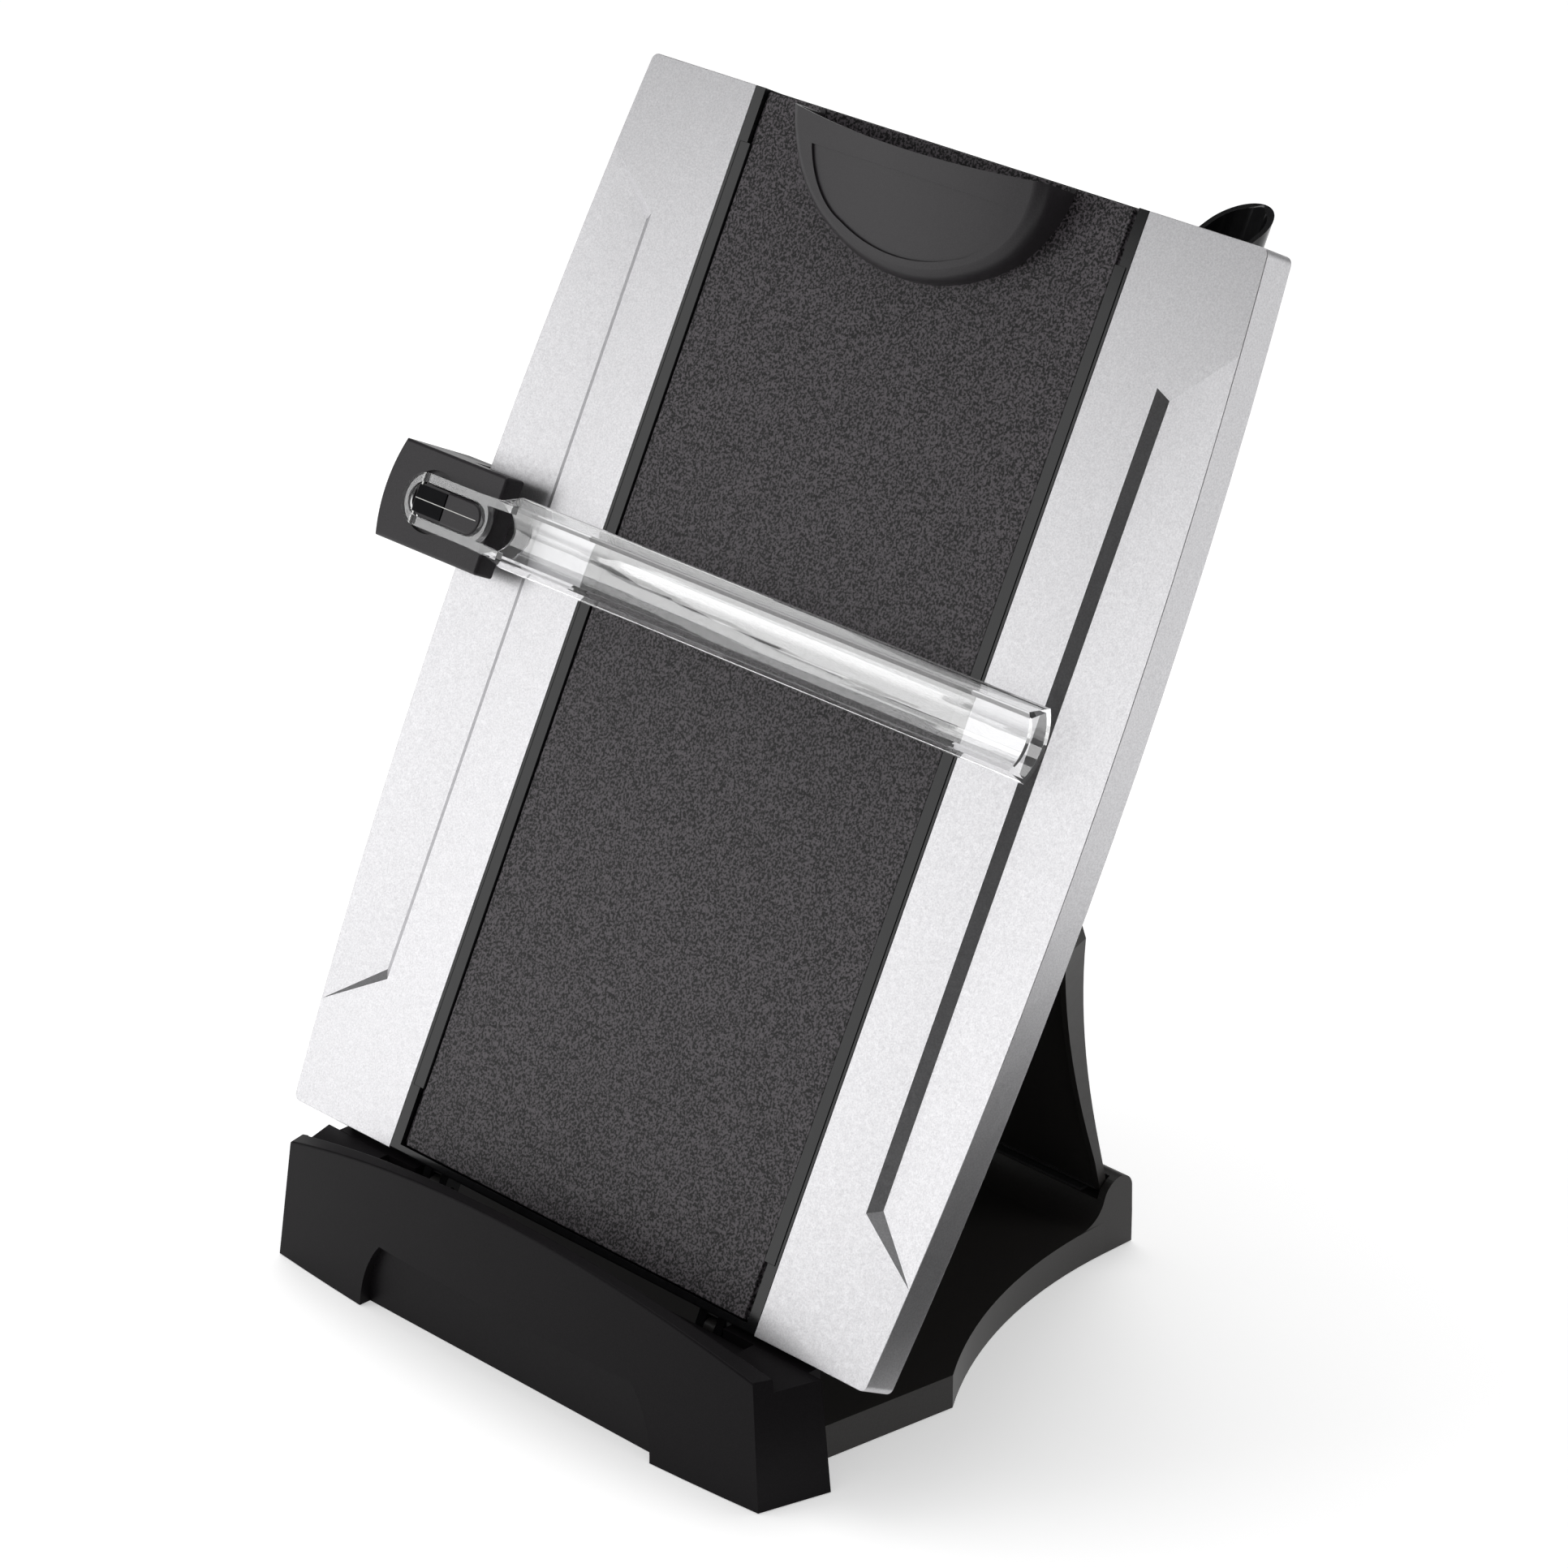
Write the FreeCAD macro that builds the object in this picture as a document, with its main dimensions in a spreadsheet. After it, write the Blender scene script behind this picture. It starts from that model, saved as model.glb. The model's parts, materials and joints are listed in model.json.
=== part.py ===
"""Desk copy holder with a sliding line guide.

Frame: X = 0 is the plane of symmetry of the stand, Y = 0 is the bottom edge of the board's face,
Z = 0 is the desk.  The reader sits on the -Y side and +Z is up.  All lengths are millimetres.

Parts of the board are drawn in the board's own frame: X as above, Y up along the board from the
bottom edge of its face, Z out of the face towards the reader.  Parts of the leg are drawn in a
frame that starts on the leg's hinge line, with Y up along the leg and Z towards the board.
"""
import FreeCAD
import Part
import math
import os
import re

import Sketcher

# ---------------------------------------------------------------- driving dimensions
SIZES = {
    # board
    "board_length": 334.5,
    "board_half_end": 122.7,
    "board_side_bow": 8.6,
    "board_thick": 11.5,
    "board_corner": 2.5,
    "board_tilt": 27.34,
    "board_foot_height": 37.6,
    "edge_soft": 0.7,
    # silver wings
    "wing_inner_half": 78.5,
    "wing_skin": 4.4,
    "wing_wall": 2.0,
    "wing_rib_thick": 1.6,
    "wing_boss_radius": 3.6,
    "wing_boss_inset": 6.0,
    "crease_half": 102.0,
    "crease_step": 3.6,
    "crease_depth": 2.5,
    "crease_low": 45.7,
    "crease_top_gap": 45.6,
    "crease_corner_rise": 2.3,
    "crease_tip_low": 31.5,
    "crease_tip_gap": 30.1,
    # channel frame and rails
    "channel_floor": 7.2,
    "channel_floor_thick": 2.5,
    "channel_end_wall": 2.4,
    "flange_half": 90.0,
    "rail_inner_half": 73.0,
    "rail_outer_half": 77.4,
    "rail_thick": 1.2,
    "rail_low": 20.7,
    "rail_top_gap": 17.0,
    # sliding centre panel
    "panel_half": 74.3,
    "panel_low": 2.9,
    "panel_top_gap": 0.5,
    "panel_sink": 0.4,
    "panel_thick": 2.6,
    "panel_edge_thick": 1.5,
    "runner_half": 58.0,
    "runner_thick": 3.0,
    "panel_travel": 75.0,
    "stop_radius": 2.6,
    "stop_half": 32.0,
    "stop_height": 52.0,
    # clip cup
    "cup_half": 51.0,
    "cup_drop": 39.5,
    "cup_reach": 19.9,
    "cup_crown": 6.0,
    "cup_slope": 0.385,
    "cup_wall": 1.8,
    "cup_round": 5.0,
    "cup_rim_dip": 3.6,
    "moon_half": 38.8,
    "moon_drop": 11.0,
    "moon_height": 23.2,
    "moon_depth": 0.7,
    # rear cover and pen cup
    "cover_thick": 1.8,
    "cover_inset": 2.2,
    "pen_cup_side": 83.0,
    "pen_cup_back": 27.0,
    "pen_cup_half_width": 10.0,
    "pen_cup_half_depth": 15.0,
    "pen_cup_wall": 1.8,
    "pen_cup_tall": 81.2,
    "pen_cup_rim_drop": 1.3,
    "pen_cup_slope": 0.97,
    # base
    "foot_proud": 0.3,
    "foot_recess": 1.0,
    "plate_top": 11.1,
    "plate_skin": 2.5,
    "plate_wall": 3.0,
    "plate_front_half": 94.9,
    "plate_corner_half": 101.5,
    "plate_corner_back": 57.4,
    "plate_waist_half": 78.1,
    "plate_waist_back": 103.7,
    "plate_rear_half": 70.0,
    "plate_rear_start": 155.0,
    "plate_rear": 167.3,
    "plate_rib_thick": 1.8,
    "tongue_half": 74.0,
    "tongue_front": 14.0,
    "tongue_top": 6.0,
    "rim_top": 24.4,
    "rim_toe": 144.0,
    "rim_shoulder_back": 154.9,
    "rim_shoulder_height": 19.0,
    "rim_crest_back": 161.8,
    # front ledge
    "ledge_front_centre": 28.2,
    "ledge_front_end": 23.0,
    "ledge_front_half": 104.0,
    "ledge_rear_half": 110.0,
    "ledge_top_front_centre": 24.8,
    "ledge_top_front_end": 19.9,
    "ledge_top_front_half": 98.0,
    "ledge_top_rear_half": 104.0,
    "ledge_rear_gap": 0.3,
    "ledge_height": 52.7,
    "ledge_arch": 13.0,
    "ledge_lip_thick": 5.2,
    "trough_floor": 32.0,
    "trough_round": 2.0,
    "shelf_inner": 79.0,
    "shelf_high": 35.1,
    "shelf_break": 93.0,
    "shelf_low": 32.4,
    "ledge_ceiling": 27.5,
    "ledge_cavity_half": 78.0,
    "ledge_front_wall": 5.0,
    "ledge_rear_wall": 3.0,
    "ledge_web": 9.0,
    "recess_top": 23.0,
    "recess_half_top": 54.5,
    "recess_half_foot": 63.0,
    "recess_face": 22.2,
    # feet and base screws
    "grip_half": 50.0,
    "grip_half_deep": 7.0,
    "foot_radius": 6.5,
    "front_foot_half": 88.0,
    "front_foot_forward": 11.0,
    "rear_foot_half": 58.0,
    "rear_foot_back": 157.5,
    "base_screw_inner": 18.0,
    "base_screw_outer": 64.0,
    "base_screw_forward": 10.5,
    "screw_radius": 1.5,
    "screw_head_radius": 2.9,
    "screw_head_thick": 1.6,
    # board hinge
    "hinge_half": 59.5,
    "hinge_drop": 4.5,
    "hinge_knuckle_radius": 3.0,
    "hinge_pin_radius": 1.2,
    "hinge_post_width": 4.1,
    "hinge_lug_thick": 3.0,
    "hinge_lug_gap": 4.5,
    # support leg
    "leg_hinge_up": 173.0,
    "leg_hinge_back": 17.0,
    "leg_foot_back": 153.665,
    "leg_foot_height": 19.285,
    "leg_half_foot": 66.6,
    "leg_half_ankle": 69.4,
    "leg_ankle_up": 25.0,
    "leg_half_calf": 76.8,
    "leg_calf_up": 66.5,
    "leg_half_top": 90.0,
    "leg_top_up": 110.0,
    "leg_head_drop": 7.0,
    "leg_back": 6.0,
    "leg_flange": 9.0,
    "leg_flange_foot": 3.0,
    "leg_skin": 2.4,
    "leg_wall": 2.2,
    "leg_strip_thick": 1.0,
    "leg_knuckle_radius": 3.2,
    "leg_knuckle_half": 79.5,
    "leg_knuckle_width": 8.4,
    "leg_ear_thick": 3.0,
    "leg_pin_radius": 1.6,
    "leg_seat_gap": 0.3,
    "leg_bracket_plate": 1.6,
    # clamp that carries the line guide
    "clamp_height": 185.0,
    "clamp_half_length": 15.5,
    "clamp_outer": 156.8,
    "clamp_bulge": 2.6,
    "clamp_inner": 111.0,
    "clamp_face": 12.0,
    "clamp_gap": 4.5,
    "clamp_web": 134.0,
    "clamp_round": 1.0,
    "clamp_jaw_thick": 3.6,
    "clamp_jaw_gap": 1.8,
    "clamp_jaw_inner": 112.0,
    "clamp_screw_out": 148.0,
    "clamp_screw_half": 9.5,
    "moat_depth": 1.5,
    "glide_pad_width": 6.5,
    "spring_thick": 0.5,
    # line guide
    "ring_outer": 147.0,
    "ring_inner": 109.5,
    "ring_half_height": 8.3,
    "ring_bar": 2.8,
    "ring_low": 13.2,
    "ring_top": 15.7,
    "boss_gap": 0.5,
    "boss_top": 15.5,
    "boss_window": 14.0,
    "boss_window_centre": 135.5,
    "guide_axis_out": 141.0,
    "guide_axis_high": 14.45,
    "guide_pin_radius": 0.75,
    "bar_half_height": 11.15,
    "bar_front_half": 8.6,
    "bar_start": 108.5,
    "bar_end": 108.3,
    "bar_front_edge": 13.5,
    "bar_front_middle": 10.6,
    "bar_back_edge": 5.2,
    "bar_back_middle": 1.5,
    "bar_wall": 1.5,
    "bar_bite_centre": 111.2,
    "bar_bite_radius": 8.7,
    "arm_width": 2.6,
    "arm_reach": 104.0,
    # clearances
    "pin_fit": 0.05,
    "slide_fit": 0.3,
    "seat_fit": 0.1,
}

# places and angles that several parts share, worked out from the sizes
PLACES = {
    "board_middle": "board_length / 2",
    "board_widest": "board_half_end + board_side_bow",
    "floor_back": "channel_floor + channel_floor_thick",
    "crease_high": "board_length - crease_top_gap",
    "crease_tip_high": "board_length - crease_tip_gap",
    "rail_high": "board_length - rail_top_gap",
    "panel_high": "board_length - panel_top_gap",
    "cup_bottom": "panel_high - cup_drop",
    "moon_high": "panel_high - moon_drop",
    "moon_low": "moon_high - moon_height",
    "pen_cup_rim": "board_length - pen_cup_rim_drop",
    "pen_cup_low": "pen_cup_rim - pen_cup_tall",
    "pivot_deep": "board_thick / 2",
    "pivot_y": "pivot_deep * cos(board_tilt) - hinge_drop * sin(board_tilt)",
    "pivot_z": "board_foot_height - hinge_drop * cos(board_tilt) - pivot_deep * sin(board_tilt)",
    "leg_hinge_y": "leg_hinge_up * sin(board_tilt) + leg_hinge_back * cos(board_tilt)",
    "leg_hinge_z": "board_foot_height + leg_hinge_up * cos(board_tilt) - leg_hinge_back * sin(board_tilt)",
    "leg_run": "leg_foot_back - leg_hinge_y",
    "leg_rise": "leg_hinge_z - leg_foot_height",
    "leg_tilt": "atan(leg_run / leg_rise)",
    "leg_reach": "sqrt(leg_run ^ 2 + leg_rise ^ 2)",
    "leg_end": "leg_reach + leg_strip_thick",
    "heel_y": "leg_hinge_y + leg_end * sin(leg_tilt) + leg_back * cos(leg_tilt)",
    "toe_z": "leg_hinge_z - leg_end * cos(leg_tilt) + (leg_back - leg_flange_foot) * sin(leg_tilt)",
    "clamp_low": "clamp_height - clamp_half_length",
    "clamp_high": "clamp_height + clamp_half_length",
    "mid_edge": "-board_thick / 2",
    "jaw_face": "-(board_thick + clamp_jaw_gap)",
}

NAME = re.compile(r"[a-z]+(?:_[a-z]+)+")
X_AXIS = FreeCAD.Vector(1, 0, 0)
TINY = 1e-4

document = FreeCAD.newDocument("copy_holder")
sheet = document.addObject("Spreadsheet::Sheet", "sizes")
for row, (alias, size) in enumerate(SIZES.items(), 1):
    sheet.set("A%d" % row, alias)
    sheet.set("B%d" % row, str(size))
    sheet.setAlias("B%d" % row, alias)
document.recompute()


# ---------------------------------------------------------------- expressions
def spelled(found):
    """A size as its cell, and a shared place as its expression."""
    name = found.group()
    if name in PLACES:
        return "(%s)" % bound(PLACES[name])
    return "sizes." + name if name in SIZES else name


def bound(text):
    """The expression text with every size name pointed at the sheet."""
    return NAME.sub(spelled, text)


def number(text):
    """The present value of an expression over the sizes."""
    return float(document.getObject("sizes").evalExpression(bound(text)))


def bind(thing, target, text):
    """Tie one property to an expression over the sizes."""
    thing.setExpression(target, bound(text))




# ---------------------------------------------------------------- sketches and features
def new_body(label, place=None):
    """A body with its label, put in the desk, board or leg frame."""
    body = document.addObject("PartDesign::Body", label)
    body.Label = label
    if place:
        place(body)
    return body


def in_board_frame(thing):
    """Lean the object back with the board."""
    thing.Placement = FreeCAD.Placement(FreeCAD.Vector(0, 0, 0), FreeCAD.Rotation(X_AXIS, 90))
    bind(thing, "Placement.Base.z", "board_foot_height")
    bind(thing, "Placement.Rotation.Angle", "90 - board_tilt")


def in_leg_frame(thing):
    """Hang the object on the leg's hinge line."""
    thing.Placement = FreeCAD.Placement(FreeCAD.Vector(0, 0, 0), FreeCAD.Rotation(X_AXIS, 90))
    bind(thing, "Placement.Base.y", "leg_hinge_y")
    bind(thing, "Placement.Base.z", "leg_hinge_z")
    bind(thing, "Placement.Rotation.Angle", "90 deg + leg_tilt")


def new_sketch(body, name, plane="XY_Plane", offset="0", tilt="0"):
    """A sketch on one of the body's origin planes, lifted off it or tilted about its X line."""
    sketch = body.newObject("Sketcher::SketchObject", body.Label + "_" + name)
    home = next(item for item in body.Origin.OriginFeatures if item.Role == plane)
    sketch.AttachmentSupport = [(home, "")]
    sketch.MapMode = "FlatFace"
    sketch.AttachmentOffset = FreeCAD.Placement(FreeCAD.Vector(0, 0, 0), FreeCAD.Rotation(X_AXIS, 1))
    bind(sketch, "AttachmentOffset.Base.z", offset)
    bind(sketch, "AttachmentOffset.Rotation.Angle", tilt)
    return sketch


def at(x_text, y_text):
    """The present position of a point given by two expressions."""
    return FreeCAD.Vector(number(x_text), number(y_text), 0)


def pin_point(sketch, geometry, corner, x_text, y_text):
    """Hold one sketch point at two expressions."""
    for kind, text in (("DistanceX", x_text), ("DistanceY", y_text)):
        index = sketch.addConstraint(Sketcher.Constraint(kind, -1, 1, geometry, corner, number(text)))
        if NAME.search(text):
            bind(sketch, "Constraints[%d]" % index, text)


def end_at(sketch, geometry, point):
    """Which end of an edge, 1 or 2, lies on the point."""
    ends = [(sketch.getPoint(geometry, end) - point).Length for end in (1, 2)]
    return 1 + ends.index(min(ends))


def trace(sketch, *path):
    """A closed outline: corners (x, y), with ("arc", x, y) between two corners joined by an arc."""
    corners = [step for step in path if step[0] != "arc"]
    points = [at(*corner) for corner in corners]
    edges = []
    position = -1
    for step_number, step in enumerate(path):
        if step[0] == "arc":
            continue
        position += 1
        start, end = points[position], points[(position + 1) % len(points)]
        after = path[(step_number + 1) % len(path)]
        if after[0] == "arc":
            through = at(*after[1:])
            edges.append(sketch.addGeometry(Part.Arc(start, through, end), False))
            mark = sketch.addGeometry(Part.Point(through), True)
            pin_point(sketch, mark, 1, *after[1:])
            sketch.addConstraint(Sketcher.Constraint("PointOnObject", mark, 1, edges[-1]))
        else:
            edges.append(sketch.addGeometry(Part.LineSegment(start, end), False))
    for index, corner in enumerate(corners):
        first = end_at(sketch, edges[index], points[index])
        last = end_at(sketch, edges[index - 1], points[index])
        sketch.addConstraint(Sketcher.Constraint("Coincident", edges[index - 1], last, edges[index], first))
        pin_point(sketch, edges[index], first, *corner)


def disc(sketch, x_text, y_text, radius_text):
    """A circle."""
    outline = Part.Circle(at(x_text, y_text), FreeCAD.Vector(0, 0, 1), number(radius_text))
    edge = sketch.addGeometry(outline, False)
    index = sketch.addConstraint(Sketcher.Constraint("Radius", edge, number(radius_text)))
    bind(sketch, "Constraints[%d]" % index, radius_text)
    pin_point(sketch, edge, 3, x_text, y_text)


def block(sketch, left, low, right, high):
    """A rectangle."""
    trace(sketch, (left, low), (right, low), (right, high), (left, high))


def slot(sketch, left, right, middle, half):
    """An obround that lies along X."""
    trace(sketch,
          ("(%s) + (%s)" % (left, half), "(%s) - (%s)" % (middle, half)),
          ("(%s) - (%s)" % (right, half), "(%s) - (%s)" % (middle, half)),
          ("arc", right, middle),
          ("(%s) - (%s)" % (right, half), "(%s) + (%s)" % (middle, half)),
          ("(%s) + (%s)" % (left, half), "(%s) + (%s)" % (middle, half)),
          ("arc", left, middle))


def upright_slot(sketch, middle, low, high, half):
    """An obround that lies along Y."""
    trace(sketch,
          ("(%s) + (%s)" % (middle, half), "(%s) + (%s)" % (low, half)),
          ("(%s) + (%s)" % (middle, half), "(%s) - (%s)" % (high, half)),
          ("arc", middle, high),
          ("(%s) - (%s)" % (middle, half), "(%s) - (%s)" % (high, half)),
          ("(%s) - (%s)" % (middle, half), "(%s) + (%s)" % (low, half)),
          ("arc", middle, low))


def feature(body, kind, name, sketch, **settings):
    """A feature on a profile; a length given as text is tied to the sheet."""
    made = body.newObject("PartDesign::" + kind, body.Label + "_" + name)
    made.Profile = sketch
    for key, setting in settings.items():
        if key in ("Length", "Length2", "TaperAngle"):
            bind(made, key, setting)
        else:
            setattr(made, key, setting)
    document.recompute()
    return made


def pad(body, name, sketch, length, **settings):
    return feature(body, "Pad", name, sketch, Length=length, **settings)


def pocket(body, name, sketch, length, **settings):
    """A cut, which has to take something away."""
    before = body.Tip.Shape.Volume
    made = feature(body, "Pocket", name, sketch, Length=length, **settings)
    if made.Shape.Volume > before - TINY:
        raise RuntimeError(made.Name + " cuts nothing")
    return made


def through(body, name, sketch):
    """A cut right through, both ways."""
    before = body.Tip.Shape.Volume
    made = feature(body, "Pocket", name, sketch, Type="ThroughAll", SideType="Symmetric")
    if made.Shape.Volume > before - TINY:
        raise RuntimeError(made.Name + " cuts nothing")
    return made


def soften(body, radius, pick, kind="Fillet"):
    """Round or bevel the edges that the test picks."""
    base = body.Tip
    names = ["Edge%d" % index for index, edge in enumerate(base.Shape.Edges, 1) if pick(edge)]
    if not names:
        raise RuntimeError(body.Label + " has no such edge to soften")
    made = body.newObject("PartDesign::" + kind, "%s_%s%d" % (body.Label, kind.lower(), len(body.Group)))
    made.Base = (base, names)
    bind(made, "Radius" if kind == "Fillet" else "Size", radius)
    document.recompute()
    return made


def row_of(body, source, direction, count, spacing):
    """Copies of the latest feature along an origin axis; spacing is an expression."""
    pattern = body.newObject("PartDesign::LinearPattern", source.Name + "_row")
    pattern.Originals = [source]
    axis = next(item for item in body.Origin.OriginFeatures if item.Role == direction)
    pattern.Direction = (axis, [""])
    pattern.Occurrences = count
    bind(pattern, "Length", "(%s) * %d" % (spacing, count - 1))
    body.Tip = pattern
    document.recompute()
    return pattern


def mirrored(body, *sources):
    """The features repeated on the other side of the plane of symmetry."""
    mirror = body.newObject("PartDesign::Mirrored", sources[-1].Name + "_twin")
    mirror.Originals = list(sources)
    plane = next(item for item in body.Origin.OriginFeatures if item.Role == "YZ_Plane")
    mirror.MirrorPlane = (plane, [""])
    body.Tip = mirror
    document.recompute()
    return mirror


def is_line(edge):
    return isinstance(edge.Curve, Part.Line)


def along(edge, axis):
    """True for a straight edge that runs along one of the body's own axes, 0, 1 or 2."""
    if not is_line(edge):
        return False
    run = edge.Vertexes[-1].Point - edge.Vertexes[0].Point
    return abs(run[axis]) > 0.999 * run.Length


def lies_at(edge, axis, text):
    """True where a whole edge lies at one height along an axis."""
    box = edge.BoundBox
    low, high = ((box.XMin, box.XMax), (box.YMin, box.YMax), (box.ZMin, box.ZMax))[axis]
    level = number(text)
    return abs(low - level) < 0.01 and abs(high - level) < 0.01


# ---------------------------------------------------------------- board: wings
def signed(side, text):
    """The expression on the right (side 1) or left (side -1)."""
    return text if side > 0 else "-(%s)" % text


def wing_outline(sketch, side, inset, inner):
    """The wing seen from the front, drawn in by an inset on its three outer edges."""
    trace(sketch,
          (signed(side, inner), inset),
          (signed(side, "(board_half_end - (%s))" % inset), inset),
          ("arc", signed(side, "(board_widest - (%s))" % inset), "board_middle"),
          (signed(side, "(board_half_end - (%s))" % inset), "board_length - (%s)" % inset),
          (signed(side, inner), "board_length - (%s)" % inset))


def crease_cutter(label, side):
    """The long facet that falls from the outer edge to a sharp crease, with a small facet at each end."""
    half, length = number("board_half_end"), number("board_length")
    bow = number("board_side_bow")
    wall_out, crease_out = number("crease_half"), number("crease_half + crease_step")
    depth, rise = number("crease_depth"), number("crease_corner_rise")
    low, high = number("crease_low"), number("crease_high")
    radius = (length * length / 4 + bow * bow) / (2 * bow)

    def spot(out, up, height=0.0):
        return FreeCAD.Vector(side * out, up, height)

    def on_edge(up):
        return spot(half + bow - radius + math.sqrt(radius * radius - (up - length / 2) ** 2), up)

    wall = [spot(wall_out, low), spot(wall_out, high)]
    crease = [spot(crease_out, low + rise, -depth), spot(crease_out, high - rise, -depth)]
    tips = [on_edge(number("crease_tip_low")), on_edge(number("crease_tip_high"))]
    bowed = Part.Arc(tips[0], on_edge(length / 2), tips[1]).toShape()
    long_facet = Part.makeRuledSurface(Part.LineSegment(*crease).toShape(), bowed)
    faces = [long_facet, Part.Face(Part.makePolygon(wall + crease[::-1] + wall[:1]))]
    for corner, foot, tip in zip(wall, crease, tips):
        faces.append(Part.Face(Part.makePolygon([corner, foot, tip, corner])))
    sides = ((tips[1], wall[1]), wall, (wall[0], tips[0]))
    rim = [bowed] + [Part.LineSegment(*pair).toShape() for pair in sides]
    faces.append(Part.Face(Part.Wire(Part.__sortEdges__(rim))))
    solid = Part.makeSolid(Part.makeShell(faces))
    solid.fix(TINY, TINY, TINY)
    if solid.Volume < 0:
        solid = solid.reversed()
    made = document.addObject("Part::Feature", label)
    made.Shape = solid
    in_board_frame(made)
    return made


def make_wing(label, side):
    body = new_body(label + "_shell", in_board_frame)
    face = new_sketch(body, "face")
    wing_outline(face, side, "0", "wing_inner_half")
    pad(body, "slab", face, "board_thick", Reversed=True)
    outer = number("board_half_end") - TINY
    soften(body, "board_corner", lambda edge: along(edge, 2) and abs(edge.CenterOfMass.x) > outer)
    hollow = new_sketch(body, "hollow", offset="-board_thick")
    wing_outline(hollow, side, "wing_wall", "wing_inner_half + wing_wall")
    pocket(body, "hollow", hollow, "board_thick - wing_skin", Reversed=True)
    shelf = new_sketch(body, "shelf", offset="-board_thick")
    block(shelf, signed(side, "wing_inner_half - 1"), "-1", signed(side, "wing_inner_half + wing_wall + 1"),
          "board_length + 1")
    pocket(body, "shelf", shelf, "board_thick - channel_floor", Reversed=True)

    bosses = new_sketch(body, "bosses", offset="-channel_floor")
    for up in ("board_length * 0.15", "board_length * 0.5", "board_length * 0.85"):
        disc(bosses, signed(side, "wing_inner_half + wing_boss_inset"), up, "wing_boss_radius")
    pad(body, "bosses", bosses, "channel_floor - wing_skin + wing_wall / 2")
    pilots = new_sketch(body, "pilots", offset="-channel_floor")
    for up in ("board_length * 0.15", "board_length * 0.5", "board_length * 0.85"):
        disc(pilots, signed(side, "wing_inner_half + wing_boss_inset"), up, "screw_radius - seat_fit")
    pocket(body, "pilots", pilots, "channel_floor - wing_skin + wing_wall / 2", Reversed=True)

    rib = new_sketch(body, "rib", offset="-(board_thick - cover_thick - slide_fit)")
    block(rib, signed(side, "flange_half + 1"), "board_length / 10",
          signed(side, "board_half_end - wing_wall / 2"),
          "board_length / 10 + wing_rib_thick")
    ribs = pad(body, "rib", rib, "board_thick - cover_thick - slide_fit - wing_skin + wing_wall / 2")
    row_of(body, ribs, "Y_Axis", 5, "board_length / 5")

    crease = crease_cutter(label + "_crease", side)
    wing = document.addObject("Part::Cut", label)
    wing.Label = label
    wing.Base = body
    wing.Tool = crease
    document.recompute()
    return wing


# ---------------------------------------------------------------- board: channel frame and rails
def make_board_frame():
    """The black tray between the wings, with the two pairs of hinge lugs under it."""
    body = new_body("board_frame", in_board_frame)
    tray = new_sketch(body, "tray")
    block(tray, "-(wing_inner_half - seat_fit)", "0", "wing_inner_half - seat_fit", "board_length")
    pad(body, "tray", tray, "floor_back", Reversed=True)
    soften(body, "edge_soft", lambda edge: lies_at(edge, 2, "0") and lies_at(edge, 1, "0"))
    channel = new_sketch(body, "channel")
    block(channel, "-(panel_half + slide_fit)", "channel_end_wall",
          "panel_half + slide_fit", "board_length + 1")
    pocket(body, "channel", channel, "channel_floor")
    seats = new_sketch(body, "seats")
    for side in (1, -1):
        block(seats, signed(side, "(panel_half + slide_fit - 1)"), "rail_low - seat_fit",
              signed(side, "(rail_outer_half + seat_fit)"), "rail_high + seat_fit")
    pocket(body, "seats", seats, "rail_thick")
    flange = new_sketch(body, "flange", offset="-floor_back")
    block(flange, "-flange_half", "wing_wall + slide_fit",
          "flange_half", "board_length - wing_wall - slide_fit")
    pad(body, "flange", flange, "channel_floor_thick - seat_fit")

    lugs = new_sketch(body, "lugs", "YZ_Plane", "hinge_half + hinge_lug_gap / 2")
    deep = "-pivot_deep"
    trace(lugs,
          ("channel_end_wall / 2", "-pivot_deep + hinge_knuckle_radius"),
          ("-hinge_drop", "-pivot_deep + hinge_knuckle_radius"),
          ("arc", "-hinge_drop - hinge_knuckle_radius", deep),
          ("-hinge_drop", "-pivot_deep - hinge_knuckle_radius"),
          ("channel_end_wall / 2", "-pivot_deep - hinge_knuckle_radius"))
    outer = pad(body, "lugs", lugs, "hinge_lug_thick")
    mirrored(body, outer)
    inner_lugs = new_sketch(body, "inner_lugs", "YZ_Plane",
                            "hinge_half - hinge_lug_gap / 2 - hinge_lug_thick")
    trace(inner_lugs,
          ("channel_end_wall / 2", "-pivot_deep + hinge_knuckle_radius"),
          ("-hinge_drop", "-pivot_deep + hinge_knuckle_radius"),
          ("arc", "-hinge_drop - hinge_knuckle_radius", deep),
          ("-hinge_drop", "-pivot_deep - hinge_knuckle_radius"),
          ("channel_end_wall / 2", "-pivot_deep - hinge_knuckle_radius"))
    inner = pad(body, "inner_lugs", inner_lugs, "hinge_lug_thick")
    mirrored(body, inner)
    bore = new_sketch(body, "bore", "YZ_Plane")
    disc(bore, "-hinge_drop", deep, "hinge_pin_radius + pin_fit")
    through(body, "bore", bore)

    slots = new_sketch(body, "stop_slots")
    for side in (1, -1):
        upright_slot(slots, signed(side, "stop_half"), "stop_height - stop_radius - slide_fit",
                     "stop_height + panel_travel + stop_radius + slide_fit", "stop_radius + slide_fit")
    through(body, "stop_slots", slots)
    holes = new_sketch(body, "wing_screw_holes")
    for side in (1, -1):
        for up in ("board_length * 0.15", "board_length * 0.5", "board_length * 0.85"):
            disc(holes, signed(side, "wing_inner_half + wing_boss_inset"), up, "screw_radius + seat_fit")
    through(body, "wing_screw_holes", holes)
    return body


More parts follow.
